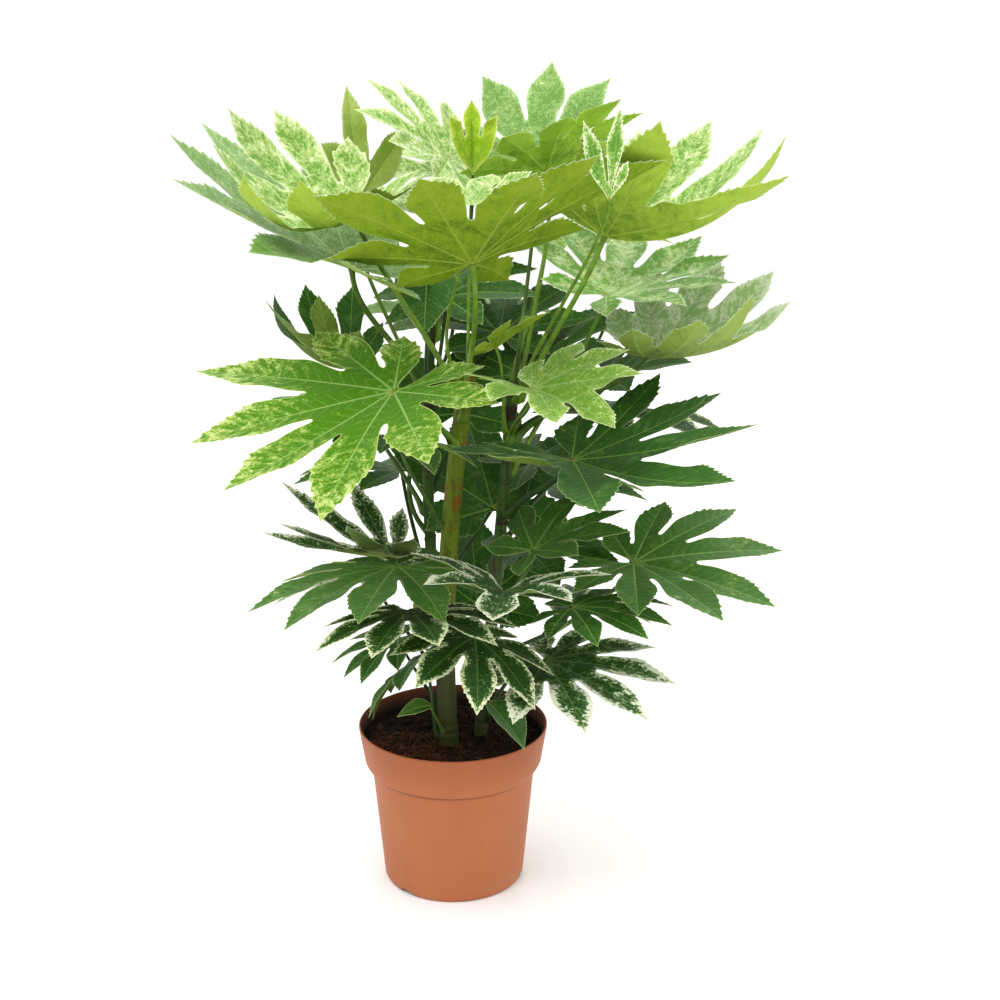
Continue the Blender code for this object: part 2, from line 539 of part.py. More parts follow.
def bend_blade(flat, leaf):
    """Flat points of reach 1 bent into the leaf's own frame: middle lobe along +X, top side up."""
    angles = np.radians(leaf.angles)
    radius = np.hypot(flat[:, 0], flat[:, 1])
    bearing = np.arctan2(flat[:, 1], flat[:, 0])
    apart = (bearing[:, None] - angles[None, :] + math.pi) % (2 * math.pi) - math.pi
    near = np.argmin(np.abs(apart), axis=1)
    off = apart[np.arange(len(flat)), near]
    along, aside = radius * np.cos(off), radius * np.sin(off)
    curls = np.radians(leaf.curls)
    own = smooth_step((radius - leaf.web) / 0.2)
    bend = math.radians(leaf.droop) + np.interp(bearing, angles, curls) * (1 - own) + curls[near] * own
    bend = np.where(np.abs(bend) < 1e-4, 1e-4, bend)
    slope = math.radians(leaf.cup) * np.abs(np.sin(bearing * (1 - own) + angles[near] * own))
    reach = np.where(np.abs(along) > 1e-9, along, 1e-9)
    run = (np.sin(slope) - np.sin(slope - bend * reach)) / bend
    height = (np.cos(slope - bend * reach) - np.cos(slope)) / bend
    free = smooth_step((radius - leaf.web) / 0.25)
    wide = aside * ((run / reach) * (1 - free) + free)
    height = height + FOLD * (np.sqrt(aside * aside + 0.0004) - 0.02) * smooth_step(radius / 0.3)
    forth, side = np.cos(angles[near]), np.sin(angles[near])
    return leaf.reach * np.stack([run * forth - wide * side, run * side + wide * forth, height], axis=1)


def leaf_turn(leaf):
    return (Matrix.Rotation(math.radians(leaf.heading), 3, "Z")
            @ Matrix.Rotation(math.radians(-leaf.rise), 3, "Y")
            @ Matrix.Rotation(math.radians(leaf.roll), 3, "X"))


def stalk_start(leaf, foot):
    """The way the stalk leaves the stem: half up, half towards the hub, bent by bow."""
    chord = np.array(leaf.hub) - foot
    chord /= np.linalg.norm(chord)
    start = np.array([chord[0], chord[1], 1.0]) * 0.7 + np.array(leaf.bow)
    return start / np.linalg.norm(start)


def stalk_foot(leaf):
    """Where the stalk starts beside the stem, the level way out of the stem and the way it leaves."""
    centre, radius = stem_at(leaf.stem, leaf.foot)
    away = math.atan2(leaf.hub[1] - centre[1], leaf.hub[0] - centre[0]) + math.radians(leaf.swing)
    out = np.array([math.cos(away), math.sin(away), 0])
    foot = centre + out * (radius + STALK_SPREAD * leaf.stalk)
    return foot, out, stalk_start(leaf, foot)


def stalk_path(leaf, foot, start):
    """From the hub down to the stem, as a Bezier curve."""
    hub = np.array(leaf.hub)
    span = np.linalg.norm(hub - foot)
    end = (hub - foot) / span + np.array(leaf_turn(leaf).col[2]) * leaf.lift
    end /= np.linalg.norm(end)
    near_hub, near_foot = hub - end * span * 0.3, foot + start * span * 0.35
    t = np.linspace(0, 1, STALK_STEPS)[:, None]
    return ((1 - t) ** 3 * hub + 3 * (1 - t) ** 2 * t * near_hub + 3 * (1 - t) * t * t * near_foot
            + t ** 3 * foot)


def stalk_rings(leaf, first_ring, first_centre):
    """Rings of points down the stalk, without twist, and the last one seated just off the stem."""
    foot, out, start = stalk_foot(leaf)
    path = stalk_path(leaf, foot, start)
    path[0] = first_centre
    ways = np.gradient(path, axis=0)
    ways[-1] = -start
    ways /= np.linalg.norm(ways, axis=1)[:, None]
    radii = leaf.stalk * np.linspace(1.0, STALK_SPREAD, STALK_STEPS)
    mark = first_ring[0] - path[0]
    mark = mark - ways[0] * (mark @ ways[0])
    hand = 1.0 if (first_ring[1] - path[0]) @ np.cross(ways[0], mark) > 0 else -1.0
    turns = [2 * math.pi * i / STALK_SIDES for i in range(STALK_SIDES)]
    rings = []
    for place, way, radius in list(zip(path, ways, radii))[1:]:
        mark = mark - way * (mark @ way)
        mark /= np.linalg.norm(mark)
        other = np.cross(way, mark) * hand
        rings.append([place + (mark * math.cos(turn) + other * math.sin(turn)) * radius for turn in turns])
    spare = min(stem_clearance(leaf.stem, point) for point in rings[-1]) - 1.2 * GAP
    rings[-1] = [point - out * spare for point in rings[-1]]
    return rings


def point_normals(points, triangles):
    a, b, c = (points[triangles[:, i]] for i in range(3))
    face_normals = np.cross(b - a, c - a)
    normals = np.zeros_like(points)
    for i in range(3):
        np.add.at(normals, triangles[:, i], face_normals)
    return normals / np.linalg.norm(normals, axis=1)[:, None]


def leaf_body(leaf):
    """Points and faces of blade and stalk in one closed body, in the leaf's own frame."""
    flat, faces, outline, ring, hub = leaf_net(leaf)
    blade = bend_blade(flat, leaf)
    triangles = np.array(faces)
    normals = point_normals(blade, triangles)
    count = len(blade)
    top = blade + normals * BLADE / 2
    low = blade - normals * BLADE / 2
    points = list(top) + list(low)
    body = [tuple(face) for face in faces]
    body += [tuple(i + count for i in reversed(face)) for face in faces if hub not in face]
    for i, here in enumerate(outline):
        there = outline[(i + 1) % len(outline)]
        body += [(here, here + count, there + count), (here, there + count, there)]
    turn, hub_place = np.array(leaf_turn(leaf)), np.array(leaf.hub)
    first_ring, first_centre = low[ring] @ turn.T + hub_place, low[hub] @ turn.T + hub_place
    previous = [i + count for i in ring]
    for circle in stalk_rings(leaf, first_ring, first_centre):
        current = list(range(len(points), len(points) + STALK_SIDES))
        points += list((np.array(circle) - hub_place) @ turn)
        for i in range(STALK_SIDES):
            after = (i + 1) % STALK_SIDES
            body.append((previous[i], current[i], current[after]))
            body.append((previous[i], current[after], previous[after]))
        previous = current
    body.append(tuple(reversed(previous)))
    return points, body


def make_leaf(leaf, parent):
    piece = add_object(leaf.name, mesh_from(leaf.name, *leaf_body(leaf)), leaf.tone, parent)
    piece.location = leaf.hub
    piece.rotation_euler = leaf_turn(leaf).to_euler()
    return piece


def stand_on_origin(plant, pieces):
    """Moves the plant so that the middle of its box is above the origin."""
    bpy.context.view_layer.update()
    places = [piece.matrix_world @ vertex.co for piece in pieces for vertex in piece.data.vertices]
    plant.location.x = -(min(p.x for p in places) + max(p.x for p in places)) / 2
    plant.location.y = -(min(p.y for p in places) + max(p.y for p in places)) / 2


def main():
    plant = bpy.data.objects.new("plant", None)
    bpy.context.scene.collection.objects.link(plant)
    pieces = [make_pot(plant), make_soil(plant)]
    pieces += [make_stem(number, plant) for number in STEMS]
    leaves = TOP_LEAVES + UPPER_LEAVES + MIDDLE_LEAVES + LOW_LEAVES + INNER_LEAVES + BACK_LEAVES
    pieces += [make_leaf(leaf, plant) for leaf in leaves]
    stand_on_origin(plant, pieces)


main()
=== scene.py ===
"""Looks of the variegated fatsia in its nursery pot.

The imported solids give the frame. Each leaf, stem, the pot and the soil get a finer piece of the same form,
which stands for the solid. Places are measured from the pot's axis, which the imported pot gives.
"""
import math
import random

import bmesh
import bpy
import numpy as np
from mathutils import Matrix, Vector, geometry, kdtree, noise


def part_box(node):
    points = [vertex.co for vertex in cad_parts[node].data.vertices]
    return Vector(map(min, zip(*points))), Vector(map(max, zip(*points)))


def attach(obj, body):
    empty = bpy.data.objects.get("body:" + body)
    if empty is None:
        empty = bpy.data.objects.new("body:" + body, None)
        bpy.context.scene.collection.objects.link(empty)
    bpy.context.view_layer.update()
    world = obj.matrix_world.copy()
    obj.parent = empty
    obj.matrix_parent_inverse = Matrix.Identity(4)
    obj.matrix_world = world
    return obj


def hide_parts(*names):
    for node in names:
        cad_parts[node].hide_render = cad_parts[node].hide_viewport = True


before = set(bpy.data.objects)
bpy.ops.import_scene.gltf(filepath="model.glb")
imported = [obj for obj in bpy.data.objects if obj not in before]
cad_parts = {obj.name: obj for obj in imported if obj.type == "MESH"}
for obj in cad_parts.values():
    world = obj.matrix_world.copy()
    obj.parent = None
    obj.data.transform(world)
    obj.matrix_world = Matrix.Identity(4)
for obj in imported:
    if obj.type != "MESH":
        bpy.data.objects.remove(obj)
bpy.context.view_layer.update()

pot_low, pot_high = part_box("pot")
POT_AXIS = np.array([(pot_low[0] + pot_high[0]) / 2, (pot_low[1] + pot_high[1]) / 2, 0.0])

# sizes repeated from the solids
POT_HEIGHT = 0.210
RIM_RADIUS = 0.120
BAND_RADIUS = 0.1125
BAND_FOOT = POT_HEIGHT - 0.048
BODY_RADIUS = 0.1035
BODY_TOP = BAND_FOOT - 0.010
FOOT_RADIUS = 0.0895
FOOT_RING = 0.0065
WALL = 0.0028
LIP = 0.0016
FLOOR = 0.0105
FLOOR_THICKNESS = 0.0025
NOTCH_COUNT = 3
NOTCH_TURN = 229
NOTCH_WIDTH = 0.026
NOTCH_HEIGHT = 0.0070
DRAIN_COUNT = 6
DRAIN_RADIUS = 0.0045
DRAIN_RING = 0.055
SOIL_EDGE = 0.1895
SOIL_FOOT = 0.0112
SOIL_MOUND = 0.0030
SOIL_BUMPS = 0.0010
STEM_FOOT = 0.14
STEMS = {
    1: {"thick": 0.013, "thin": 0.010,
        "route": ((0.0, -0.03, 0.14), (-0.008, -0.025, 0.3), (-0.002, -0.02, 0.46), (0.02, -0.01, 0.66))},
    2: {"thick": 0.0085, "thin": 0.0070,
        "route": ((0.03, 0.0, 0.14), (0.045, 0.0, 0.3), (0.06, 0.0, 0.46), (0.075, 0.0, 0.64))},
    3: {"thick": 0.0080, "thin": 0.0065,
        "route": ((0.0, 0.045, 0.14), (-0.02, 0.055, 0.3), (-0.03, 0.06, 0.48), (-0.025, 0.055, 0.7))},
}

# leaves: lobes beside the middle one, as degrees from it and share of its length
SIDE_LOBES = {
    9: ((30, 0.98), (62, 0.88), (97, 0.70), (138, 0.45)),
    7: ((36, 0.97), (76, 0.82), (125, 0.55)),
    5: ((52, 0.88), (110, 0.60)),
    3: ((24, 0.88),),
    1: (),
}
LOBE_WIDTH = {9: 0.140, 7: 0.165, 5: 0.205, 3: 0.160, 1: 0.32}
SINUS = 0.43
BACK_SINUS = 0.16
NOTCH = 0.035
OVAL_FOOT = 0.06
WIDEST_ROOM = 60
ROOM_USED = 0.9
FOLD = 0.25
STALK_THICK = 0.0010
STALK_GROWTH = 0.0075
STALK_SPREAD = 1.35

# what most leaves share, and the look that goes with each slot
HABIT = {"roll": 0, "cup": 10, "droop": 35, "web": SINUS, "breadth": 1.0, "taper": 0.0, "swing": 0,
         "bow": (0, 0, 0), "lift": 1.0}
SLOT_LOOKS = {"pale": "cream", "bright": "lime", "green": "green", "dark": "dark", "edged": "edged"}

# fine outline: share of the way from sinus to tip and share of the half width, from tip to sinus
LOBE_EDGE = ((0.94, 0.09), (0.84, 0.30), (0.70, 0.63), (0.52, 0.96), (0.33, 1.06), (0.12, 0.93))
OVAL_EDGE = ((0.93, 0.12), (0.78, 0.50), (0.58, 0.95), (0.34, 1.12), (0.13, 0.80), (0.0, 0.34))
SINUS_ROOM = 0.018
TOOTH = 0.052
TOOTH_HEIGHT = 0.0150
TOOTH_PARTS = ((0.0, 0.0), (0.20, 1.0), (0.58, 0.45))
FIRST_TOOTH = 0.012
TOOTHED = 0.68
SMOOTH_STEP = 0.018
MESH_STEP = 0.0036
BLADE = 0.0007
VEIN_SPREAD = 0.0014
VEIN_RIDGE = 0.0009
VEIN_GROOVE = 0.0005
QUILT = 0.0008
SIDE_VEINS = 0.062
VEIN_SLANT = 0.85
RUFFLE = 0.007
RUFFLE_LENGTH = 0.30
LOBE_TWIST = 0.35
STALK_SIDES = 12
STALK_STEPS = 40
STALK_SEAT = 0.004


class Leaf:
    """One leaf. Angles are in degrees and lengths in metres.

    foot is the height at which its stalk leaves the stem, hub the place where stalk and blade meet.
    heading is the middle lobe's way seen from above, rise its slope and reach its length.
    curl and stretch change single lobes, counted from the middle one, with minus to its right.
    roll is the blade's lean about its middle lobe, cup lifts the lobes beside it and droop bends all lobes
    down. web is the share of a lobe's length at which the sinus beside it ends, breadth widens all lobes
    and taper narrows them towards their tips. swing turns the stalk's foot about the stem, bow bends its
    start and lift squares its end to the blade.
    """

    def __init__(self, slot, lobes, stem, foot, hub, heading, rise, reach, look=None, curl=(), stretch=(),
                 **habit):
        vars(self).update(HABIT, **habit)
        self.slot = f"leaf_{slot}"
        self.look = look or SLOT_LOOKS[slot]
        self.lobes = lobes
        self.stem = stem
        self.foot = foot
        self.hub = np.array(hub)
        self.heading = heading
        self.rise = rise
        self.reach = reach
        self.stalk = STALK_THICK + STALK_GROWTH * reach
        self.width = LOBE_WIDTH[lobes] * self.breadth
        right = [(-angle, share) for angle, share in reversed(SIDE_LOBES[lobes])]
        fan = right + [(0, 1.0)] + list(SIDE_LOBES[lobes])
        stretched, curled = dict(stretch), dict(curl)
        counted = list(enumerate(fan, -(lobes // 2)))
        self.angles = [angle for angle, share in fan]
        self.lengths = [share * stretched.get(i, 1.0) for i, (angle, share) in counted]
        self.curls = [curled.get(i, 0) for i, _ in counted]


def region(name, *leaves):
    """Names and numbers the leaves of one region of the bush in the order in which they stand."""
    digits = len(str(len(leaves)))
    for number, leaf in enumerate(leaves, 1):
        leaf.name = f"leaf_{name}_{number:0{digits}d}"
    return leaves


# each row: slot, lobes, stem, foot, hub, heading, rise, reach and what differs from the habit
TOP_LEAVES = region(
    "top",
    # 1 and 2: the wide ones at the left, the outer one muted and the inner one cream
    Leaf("green", 9, 3, 0.635, (-0.11, -0.055, 0.8), 180, 25, 0.255, look="muted", roll=-5, cup=15,
         droop=-5, curl={0: -20, 2: 20}, stretch={-1: 1.1}),
    Leaf("pale", 9, 1, 0.65, (-0.105, -0.09, 0.87), 225, -25, 0.21, roll=-15, cup=25, droop=-45,
         curl={-4: -10, -3: 10, -2: -15, -1: -25, 0: -45, 1: -25, 3: 10}, swing=-20),
    # 3: the one in front, seen from below
    Leaf("bright", 9, 1, 0.615, (0.03, -0.17, 0.825), -70, 35, 0.225, look="front", roll=5, cup=20,
         droop=15, curl={-2: -10, -1: -10, 0: -10, 1: -10, 3: 10, 4: 30},
         stretch={-2: 1.1, -1: 0.9, 1: 0.9, 2: 1.2}, web=0.48),
    # 4 to 6: at the right, from the cup-shaped one down
    Leaf("pale", 9, 2, 0.635, (0.18, -0.04, 0.835), -20, -10, 0.235, roll=-5, cup=35, droop=-35,
         curl={-1: 20, 0: -40, 1: -20}, stretch={-1: 1.2, 0: 1.1}, web=0.46),
    Leaf("pale", 9, 2, 0.54, (0.185, -0.005, 0.76), 45, 5, 0.18, look="whitish", roll=10, cup=20, droop=5,
         curl={-4: 40, -3: 10, -1: -20, 0: -30}, stretch={-3: 1.1, -1: 0.9}, swing=40),
    Leaf("green", 9, 2, 0.585, (0.235, -0.02, 0.69), -10, -5, 0.19, look="silver", roll=10, cup=20,
         droop=-45, curl={-1: -20, 0: -15, 2: 15}, web=0.6),
    # 7 to 13: the young ones in the crown and those behind
    Leaf("bright", 3, 1, 0.655, (0.03, -0.105, 0.915), 95, 75, 0.08, look="bright", cup=45, droop=-10,
         web=0.58, breadth=0.8),
    Leaf("green", 7, 2, 0.635, (0.105, 0.12, 0.895), 75, 60, 0.145, look="soft", cup=15, droop=5,
         web=0.44, breadth=1.25, taper=0.45, lift=0.4),
    Leaf("pale", 9, 3, 0.696, (0.0, 0.04, 0.915), 170, 45, 0.135, roll=-10, droop=15,
         curl={0: -10, 1: 10}, breadth=1.1, swing=40),
    Leaf("bright", 5, 3, 0.62, (-0.105, 0.035, 0.87), 150, 80, 0.13, look="olive", droop=-5,
         stretch={-2: 0.7, 2: 0.7}, web=0.4, breadth=0.85),
    Leaf("bright", 9, 2, 0.635, (0.115, 0.025, 0.9), -85, 40, 0.15, look="sunlit", roll=20, droop=20),
    Leaf("pale", 3, 2, 0.635, (0.175, -0.2, 0.9), 69, 70, 0.1, look="white_edged", cup=20, droop=0,
         stretch={-1: 0.5}, web=0.2, breadth=0.65),
    Leaf("pale", 5, 1, 0.655, (0.03, -0.205, 0.895), 75, 15, 0.085, droop=0, curl={-2: -20, -1: -20},
         swing=-30, bow=(-0.4, 0, 0)),
)

UPPER_LEAVES = region(
    "upper",
    Leaf("dark", 1, 3, 0.645, (-0.025, 0.03, 0.795), -95, -45, 0.1, droop=20, breadth=1.1),
    Leaf("dark", 7, 3, 0.595, (-0.125, 0.02, 0.665), 165, 0, 0.14, roll=5, cup=40, droop=-45,
         curl={0: -40, 1: 10}),
    Leaf("dark", 7, 2, 0.62, (0.085, 0.1, 0.64), 50, 20, 0.18, roll=-10, cup=15, droop=10,
         curl={-3: 20, -2: 10, 0: -10}),
    Leaf("dark", 7, 3, 0.61, (0.06, 0.15, 0.68), 85, 25, 0.15, droop=15),
    Leaf("bright", 5, 2, 0.595, (0.055, -0.02, 0.7), -10, 40, 0.08, roll=-10, cup=15, droop=10),
    Leaf("dark", 9, 2, 0.585, (0.195, 0.095, 0.635), 20, 25, 0.165, roll=-10, cup=5, droop=15),
    Leaf("green", 7, 1, 0.48, (-0.06, -0.05, 0.595), -60, 15, 0.115, roll=-15, cup=5,
         curl={0: 10, 3: 10}),
)

MIDDLE_LEAVES = region(
    "middle",
    # 1 and 2: the big mottled one at the left and the light one right of the middle
    Leaf("bright", 9, 1, 0.585, (-0.06, -0.135, 0.675), 220, -20, 0.24, look="mottled", roll=-5, droop=5,
         curl={0: -10, 1: 10}, stretch={-2: 1.2}),
    Leaf("bright", 9, 2, 0.585, (0.095, -0.165, 0.685), -50, 0, 0.135, look="fresh", roll=5, cup=25,
         droop=15, curl={-3: -10, -2: 10, -1: 10, 1: -10}, web=0.64, breadth=1.1),
    # 3 and 4: dark ones at the right
    Leaf("dark", 9, 2, 0.49, (0.145, -0.065, 0.575), -55, 0, 0.245, roll=5, cup=15, droop=-5,
         curl={-2: -10, -1: 10, 0: -10, 1: -10, 2: -10, 3: -20}, stretch={0: 1.2, 2: 0.9}),
    Leaf("dark", 9, 2, 0.265, (0.225, -0.005, 0.425), -30, 0, 0.19, look="green", roll=10, cup=15,
         droop=15),
    # 5 and 6: the dark one and the flecked one at the left
    Leaf("dark", 9, 1, 0.345, (-0.065, -0.06, 0.44), 230, 5, 0.195, look="green", roll=5, cup=0, droop=25,
         curl={1: -10}, stretch={-2: 0.9}),
    Leaf("edged", 9, 3, 0.33, (-0.075, 0.05, 0.412), 185, 7, 0.19, look="flecked", cup=25, droop=-15,
         stretch={-4: 0.5, -3: 0.7, -2: 0.85, 0: 0.9, 4: 0.5}, web=0.3, breadth=0.78),
    # 7 and 8: smaller ones right of the middle
    Leaf("green", 7, 2, 0.365, (0.1, -0.06, 0.46), 20, 25, 0.13, cup=15, droop=15, curl={-1: 10}),
    Leaf("dark", 9, 2, 0.29, (0.145, -0.095, 0.4), -15, 10, 0.125, cup=5, droop=30, stretch={1: 1.1}),
)

LOW_LEAVES = region(
    "low",
    Leaf("edged", 7, 1, 0.34, (0.065, -0.16, 0.445), -95, 10, 0.145, look="flecked", roll=-5, cup=25,
         droop=15, curl={0: -10}, stretch={2: 1.1}),
    Leaf("edged", 7, 1, 0.3, (0.03, -0.125, 0.375), -85, -5, 0.13, roll=-10, cup=0, curl={-1: -10}),
    Leaf("edged", 9, 2, 0.24, (0.115, -0.09, 0.33), -45, 0, 0.165, look="speckled", roll=5, cup=5,
         droop=20, swing=-20, bow=(0.2, 0, -0.4)),
    Leaf("dark", 9, 3, 0.205, (-0.07, 0.035, 0.31), 210, -10, 0.1, roll=5, stretch={0: 0.9}),
    Leaf("edged", 9, 1, 0.375, (-0.045, -0.13, 0.41), -75, 10, 0.15, cup=0, droop=20, curl={0: -10},
         stretch={-2: 1.1}),
    Leaf("dark", 7, 1, 0.205, (-0.035, -0.02, 0.305), 175, -30, 0.11, roll=10, droop=45, swing=20),
    # 7 and 8: the plain ovals just above the soil
    Leaf("green", 1, 1, 0.215, (-0.025, -0.065, 0.26), 195, 0, 0.045, roll=-10, cup=5, droop=30),
    Leaf("dark", 1, 2, 0.215, (0.045, -0.055, 0.26), -35, -30, 0.075, roll=-15, cup=0, droop=20,
         breadth=1.5, swing=40),
)

INNER_LEAVES = region(
    "inner",
    Leaf("dark", 7, 3, 0.595, (-0.01, 0.11, 0.735), 70, 25, 0.15, roll=-5, cup=5),
    Leaf("dark", 7, 3, 0.48, (-0.08, 0.21, 0.565), 200, 5, 0.14, cup=15, droop=45, bow=(0, 0.4, 0)),
    Leaf("dark", 7, 2, 0.42, (0.1, 0.08, 0.53), 20, 10, 0.16),
    Leaf("dark", 7, 2, 0.29, (0.09, 0.09, 0.41), 5, 10, 0.16),
    Leaf("dark", 5, 3, 0.365, (0.05, 0.095, 0.465), 105, 40, 0.175, roll=5, droop=15),
    Leaf("dark", 5, 2, 0.25, (0.03, 0.115, 0.325), 95, 40, 0.15, droop=10),
    Leaf("dark", 5, 3, 0.5, (0.01, 0.095, 0.59), 80, 30, 0.155, droop=10),
)

BACK_LEAVES = region(
    "back",
    Leaf("pale", 9, 3, 0.695, (-0.08, 0.17, 0.84), 120, 10, 0.19),
    Leaf("bright", 9, 2, 0.625, (0.12, 0.2, 0.8), 60, 5, 0.19, swing=40),
    Leaf("green", 7, 3, 0.435, (0.0, 0.215, 0.69), 95, 5, 0.19, look="muted", curl={-3: 20},
         bow=(-1, 0, 0)),
    Leaf("green", 7, 3, 0.47, (-0.12, 0.14, 0.6), 150, 0, 0.17),
    Leaf("edged", 7, 2, 0.445, (0.195, 0.165, 0.57), 45, 0, 0.18),
    Leaf("dark", 7, 3, 0.34, (-0.07, 0.18, 0.49), 115, 0, 0.18),
    Leaf("dark", 7, 2, 0.405, (0.12, 0.17, 0.47), 65, 0, 0.17),
    Leaf("edged", 7, 3, 0.25, (-0.11, 0.11, 0.37), 155, -5, 0.14, look="speckled"),
    Leaf("dark", 7, 3, 0.215, (0.02, 0.19, 0.345), 95, -5, 0.15, droop=30),
    Leaf("edged", 7, 2, 0.22, (0.14, 0.09, 0.34), 35, -5, 0.13),
    Leaf("bright", 7, 3, 0.695, (0.02, 0.135, 0.88), 110, 25, 0.16, look="cream"),
    Leaf("green", 7, 2, 0.59, (0.2, 0.235, 0.68), 35, 0, 0.15, look="mottled", roll=-5, cup=5, droop=30),
)

LEAVES = TOP_LEAVES + UPPER_LEAVES + MIDDLE_LEAVES + LOW_LEAVES + INNER_LEAVES + BACK_LEAVES


def smooth_step(share):
    share = np.clip(share, 0, 1)
    return share * share * (3 - 2 * share)


def polar(radius, degrees):
    return np.array([radius * math.cos(math.radians(degrees)), radius * math.sin(math.radians(degrees))])


def on_lobe(along, aside, degrees):
    """A flat point at a distance along a lobe's midrib and aside of it."""
    forth, side = polar(1, degrees)
    return np.array([along * forth - aside * side, along * side + aside * forth])


def spline(controls, steps=12):
    """Points of the uniform cubic B-spline that starts and ends at its first and last control place."""
    places = np.array([controls[0]] * 2 + list(controls) + [controls[-1]] * 2)
    t = np.linspace(0, 1, steps, endpoint=False)[:, None]
    weights = ((1 - t) ** 3, 3 * t ** 3 - 6 * t ** 2 + 4, -3 * t ** 3 + 3 * t ** 2 + 3 * t + 1, t ** 3)
    runs = [sum(w * places[i + k] for k, w in enumerate(weights)) / 6 for i in range(len(places) - 3)]
    return np.vstack(runs + [places[-1:]])


def lobe_side(leaf, i, hand):
    """Control places from a lobe's tip down one side, hand being 1 on its left and -1 on its right."""
    angle, length = leaf.angles[i], leaf.lengths[i]
    beside = i + hand
    if 0 <= beside < leaf.lobes:
        base = leaf.web * min(length, leaf.lengths[beside])
        room = abs(leaf.angles[beside] - angle) / 2
    else:
        base = BACK_SINUS
        room = min(180 - abs(angle), WIDEST_ROOM)
    width = leaf.width * min(1.0, 0.5 + 0.5 * length)
    places = [on_lobe(length, 0, angle)]
    for share, part in LOBE_EDGE:
        along = base + (length - base) * share
        widest = ROOM_USED * along * math.tan(math.radians(room)) - SINUS_ROOM / 3
        half = min(part * width * (1 - leaf.taper * share), widest)
        places.append(on_lobe(along, hand * half, angle))
    return places, base


def oval_sides(leaf):
    left = [np.array([1.0, 0.0])] + [np.array([along, part * leaf.width]) for along, part in OVAL_EDGE]
    right = [place * (1, -1) for place in reversed(left)]
    return left + [np.array([-OVAL_FOOT, 0.0])] + right


def outline_runs(leaf):
    """The outline as smooth runs, each from one lobe's tip round a sinus to the next lobe's tip."""
    if leaf.lobes == 1:
        return [spline(oval_sides(leaf))]
    runs = []
    for i in range(leaf.lobes - 1):
        left, base = lobe_side(leaf, i, 1)
        right, _ = lobe_side(leaf, i + 1, -1)
        middle = (leaf.angles[i] + leaf.angles[i + 1]) / 2
        spread = math.degrees(SINUS_ROOM / base)
        round_end = [polar(0.97 * base, middle - spread), polar(0.97 * base, middle + spread)]
        runs.append(spline(left + round_end + right[::-1]))
    left, _ = lobe_side(leaf, leaf.lobes - 1, 1)
    right, _ = lobe_side(leaf, 0, -1)
    back = [polar(0.5 * BACK_SINUS, leaf.angles[-1] + 14), polar(0.8 * NOTCH, 165)]
    mirrored = [place * (1, -1) for place in reversed(back)]
    return runs + [spline(left + back + [np.array([-NOTCH, 0.0])] + mirrored + right[::-1])]


def half_steps(length, rng):
    """Places from a lobe's tip to the sinus with how far each stands out, as teeth that point to the tip."""
    places = [(0.0, 0.0)]
    start = FIRST_TOOTH + FIRST_TOOTH * rng.random()
    end = TOOTHED * length
    while start < end:
        step = TOOTH * (0.75 + 0.5 * rng.random())
        height = TOOTH_HEIGHT * (0.55 + 0.75 * rng.random())
        height *= smooth_step((start + 0.01) / 0.10) * smooth_step((end - start) / (0.35 * end))
        places += [(start + part * step, up * height) for part, up in TOOTH_PARTS]
        start += step
    count = max(int((length - start) / SMOOTH_STEP), 1)
    return places + [(start + (length - start) * k / count, 0.0) for k in range(count)]


def toothed(run, rng):
    """A smooth run cut into the places of its teeth."""
    s = np.concatenate([[0], np.cumsum(np.linalg.norm(np.diff(run, axis=0), axis=1))])
    total = s[-1]
    down = half_steps(total / 2, rng)
    up = [(total - place, out) for place, out in half_steps(total / 2, rng)]
    steps = np.array(down + [(total / 2, 0.0)] + up[::-1])
    way = np.gradient(run, axis=0)
    x, y, way_x, way_y = (np.interp(steps[:, 0], s, values) for values in (*run.T, *way.T))
    size = np.hypot(way_x, way_y) + 1e-9
    return np.stack([x + steps[:, 1] * way_y / size, y - steps[:, 1] * way_x / size], axis=1)[:-1]


def inside(points, outline):
    """Which flat points lie inside the outline."""
    x, y = points[:, 0][:, None], points[:, 1][:, None]
    a, b = outline, np.roll(outline, -1, axis=0)
    spans = (a[:, 1] > y) != (b[:, 1] > y)
    rise = np.where(b[:, 1] == a[:, 1], 1e-12, b[:, 1] - a[:, 1])
    cross = x < (b[:, 0] - a[:, 0]) * (y - a[:, 1]) / rise + a[:, 0]
    return (spans & cross).sum(axis=1) % 2 == 1


def edge_tree(outline):
    """A search tree over dense places of the outline."""
    after = np.roll(outline, -1, axis=0)
    dense = np.vstack([outline + (after - outline) * share for share in (0, 0.25, 0.5, 0.75)])
    tree = kdtree.KDTree(len(dense))
    for i, (x, y) in enumerate(dense):
        tree.insert((x, y, 0), i)
    tree.balance()
    return tree


def edge_distance(points, tree):
    return np.array([tree.find((x, y, 0))[2] for x, y in points])


def lobe_frame(leaf, flat):
    """For flat points the nearest lobe, the place along it and the place aside of it."""
    angles = np.radians(leaf.angles)
    radius = np.hypot(flat[:, 0], flat[:, 1])
    bearing = np.arctan2(flat[:, 1], flat[:, 0])
    apart = (bearing[:, None] - angles[None, :] + math.pi) % (2 * math.pi) - math.pi
    near = np.argmin(np.abs(apart), axis=1)
    off = apart[np.arange(len(flat)), near]
    return near, radius * np.cos(off), radius * np.sin(off), radius, bearing


def vein_rows(leaf, step, tree):
    """Flat points on the midribs and beside them, each row reaching almost to the outline."""
    rows = []
    for angle, length in zip(leaf.angles, leaf.lengths):
        alongs = np.arange(step, length - 0.3 * step, step)
        spread = VEIN_SPREAD / leaf.reach * (1.1 - 0.7 * alongs / length)
        for hand in (-1, 0, 1):
            rows += [on_lobe(along, hand * aside, angle) for along, aside in zip(alongs, spread)]
    rows = np.array(rows)
    return rows[edge_distance(rows, tree) > 0.25 * step]


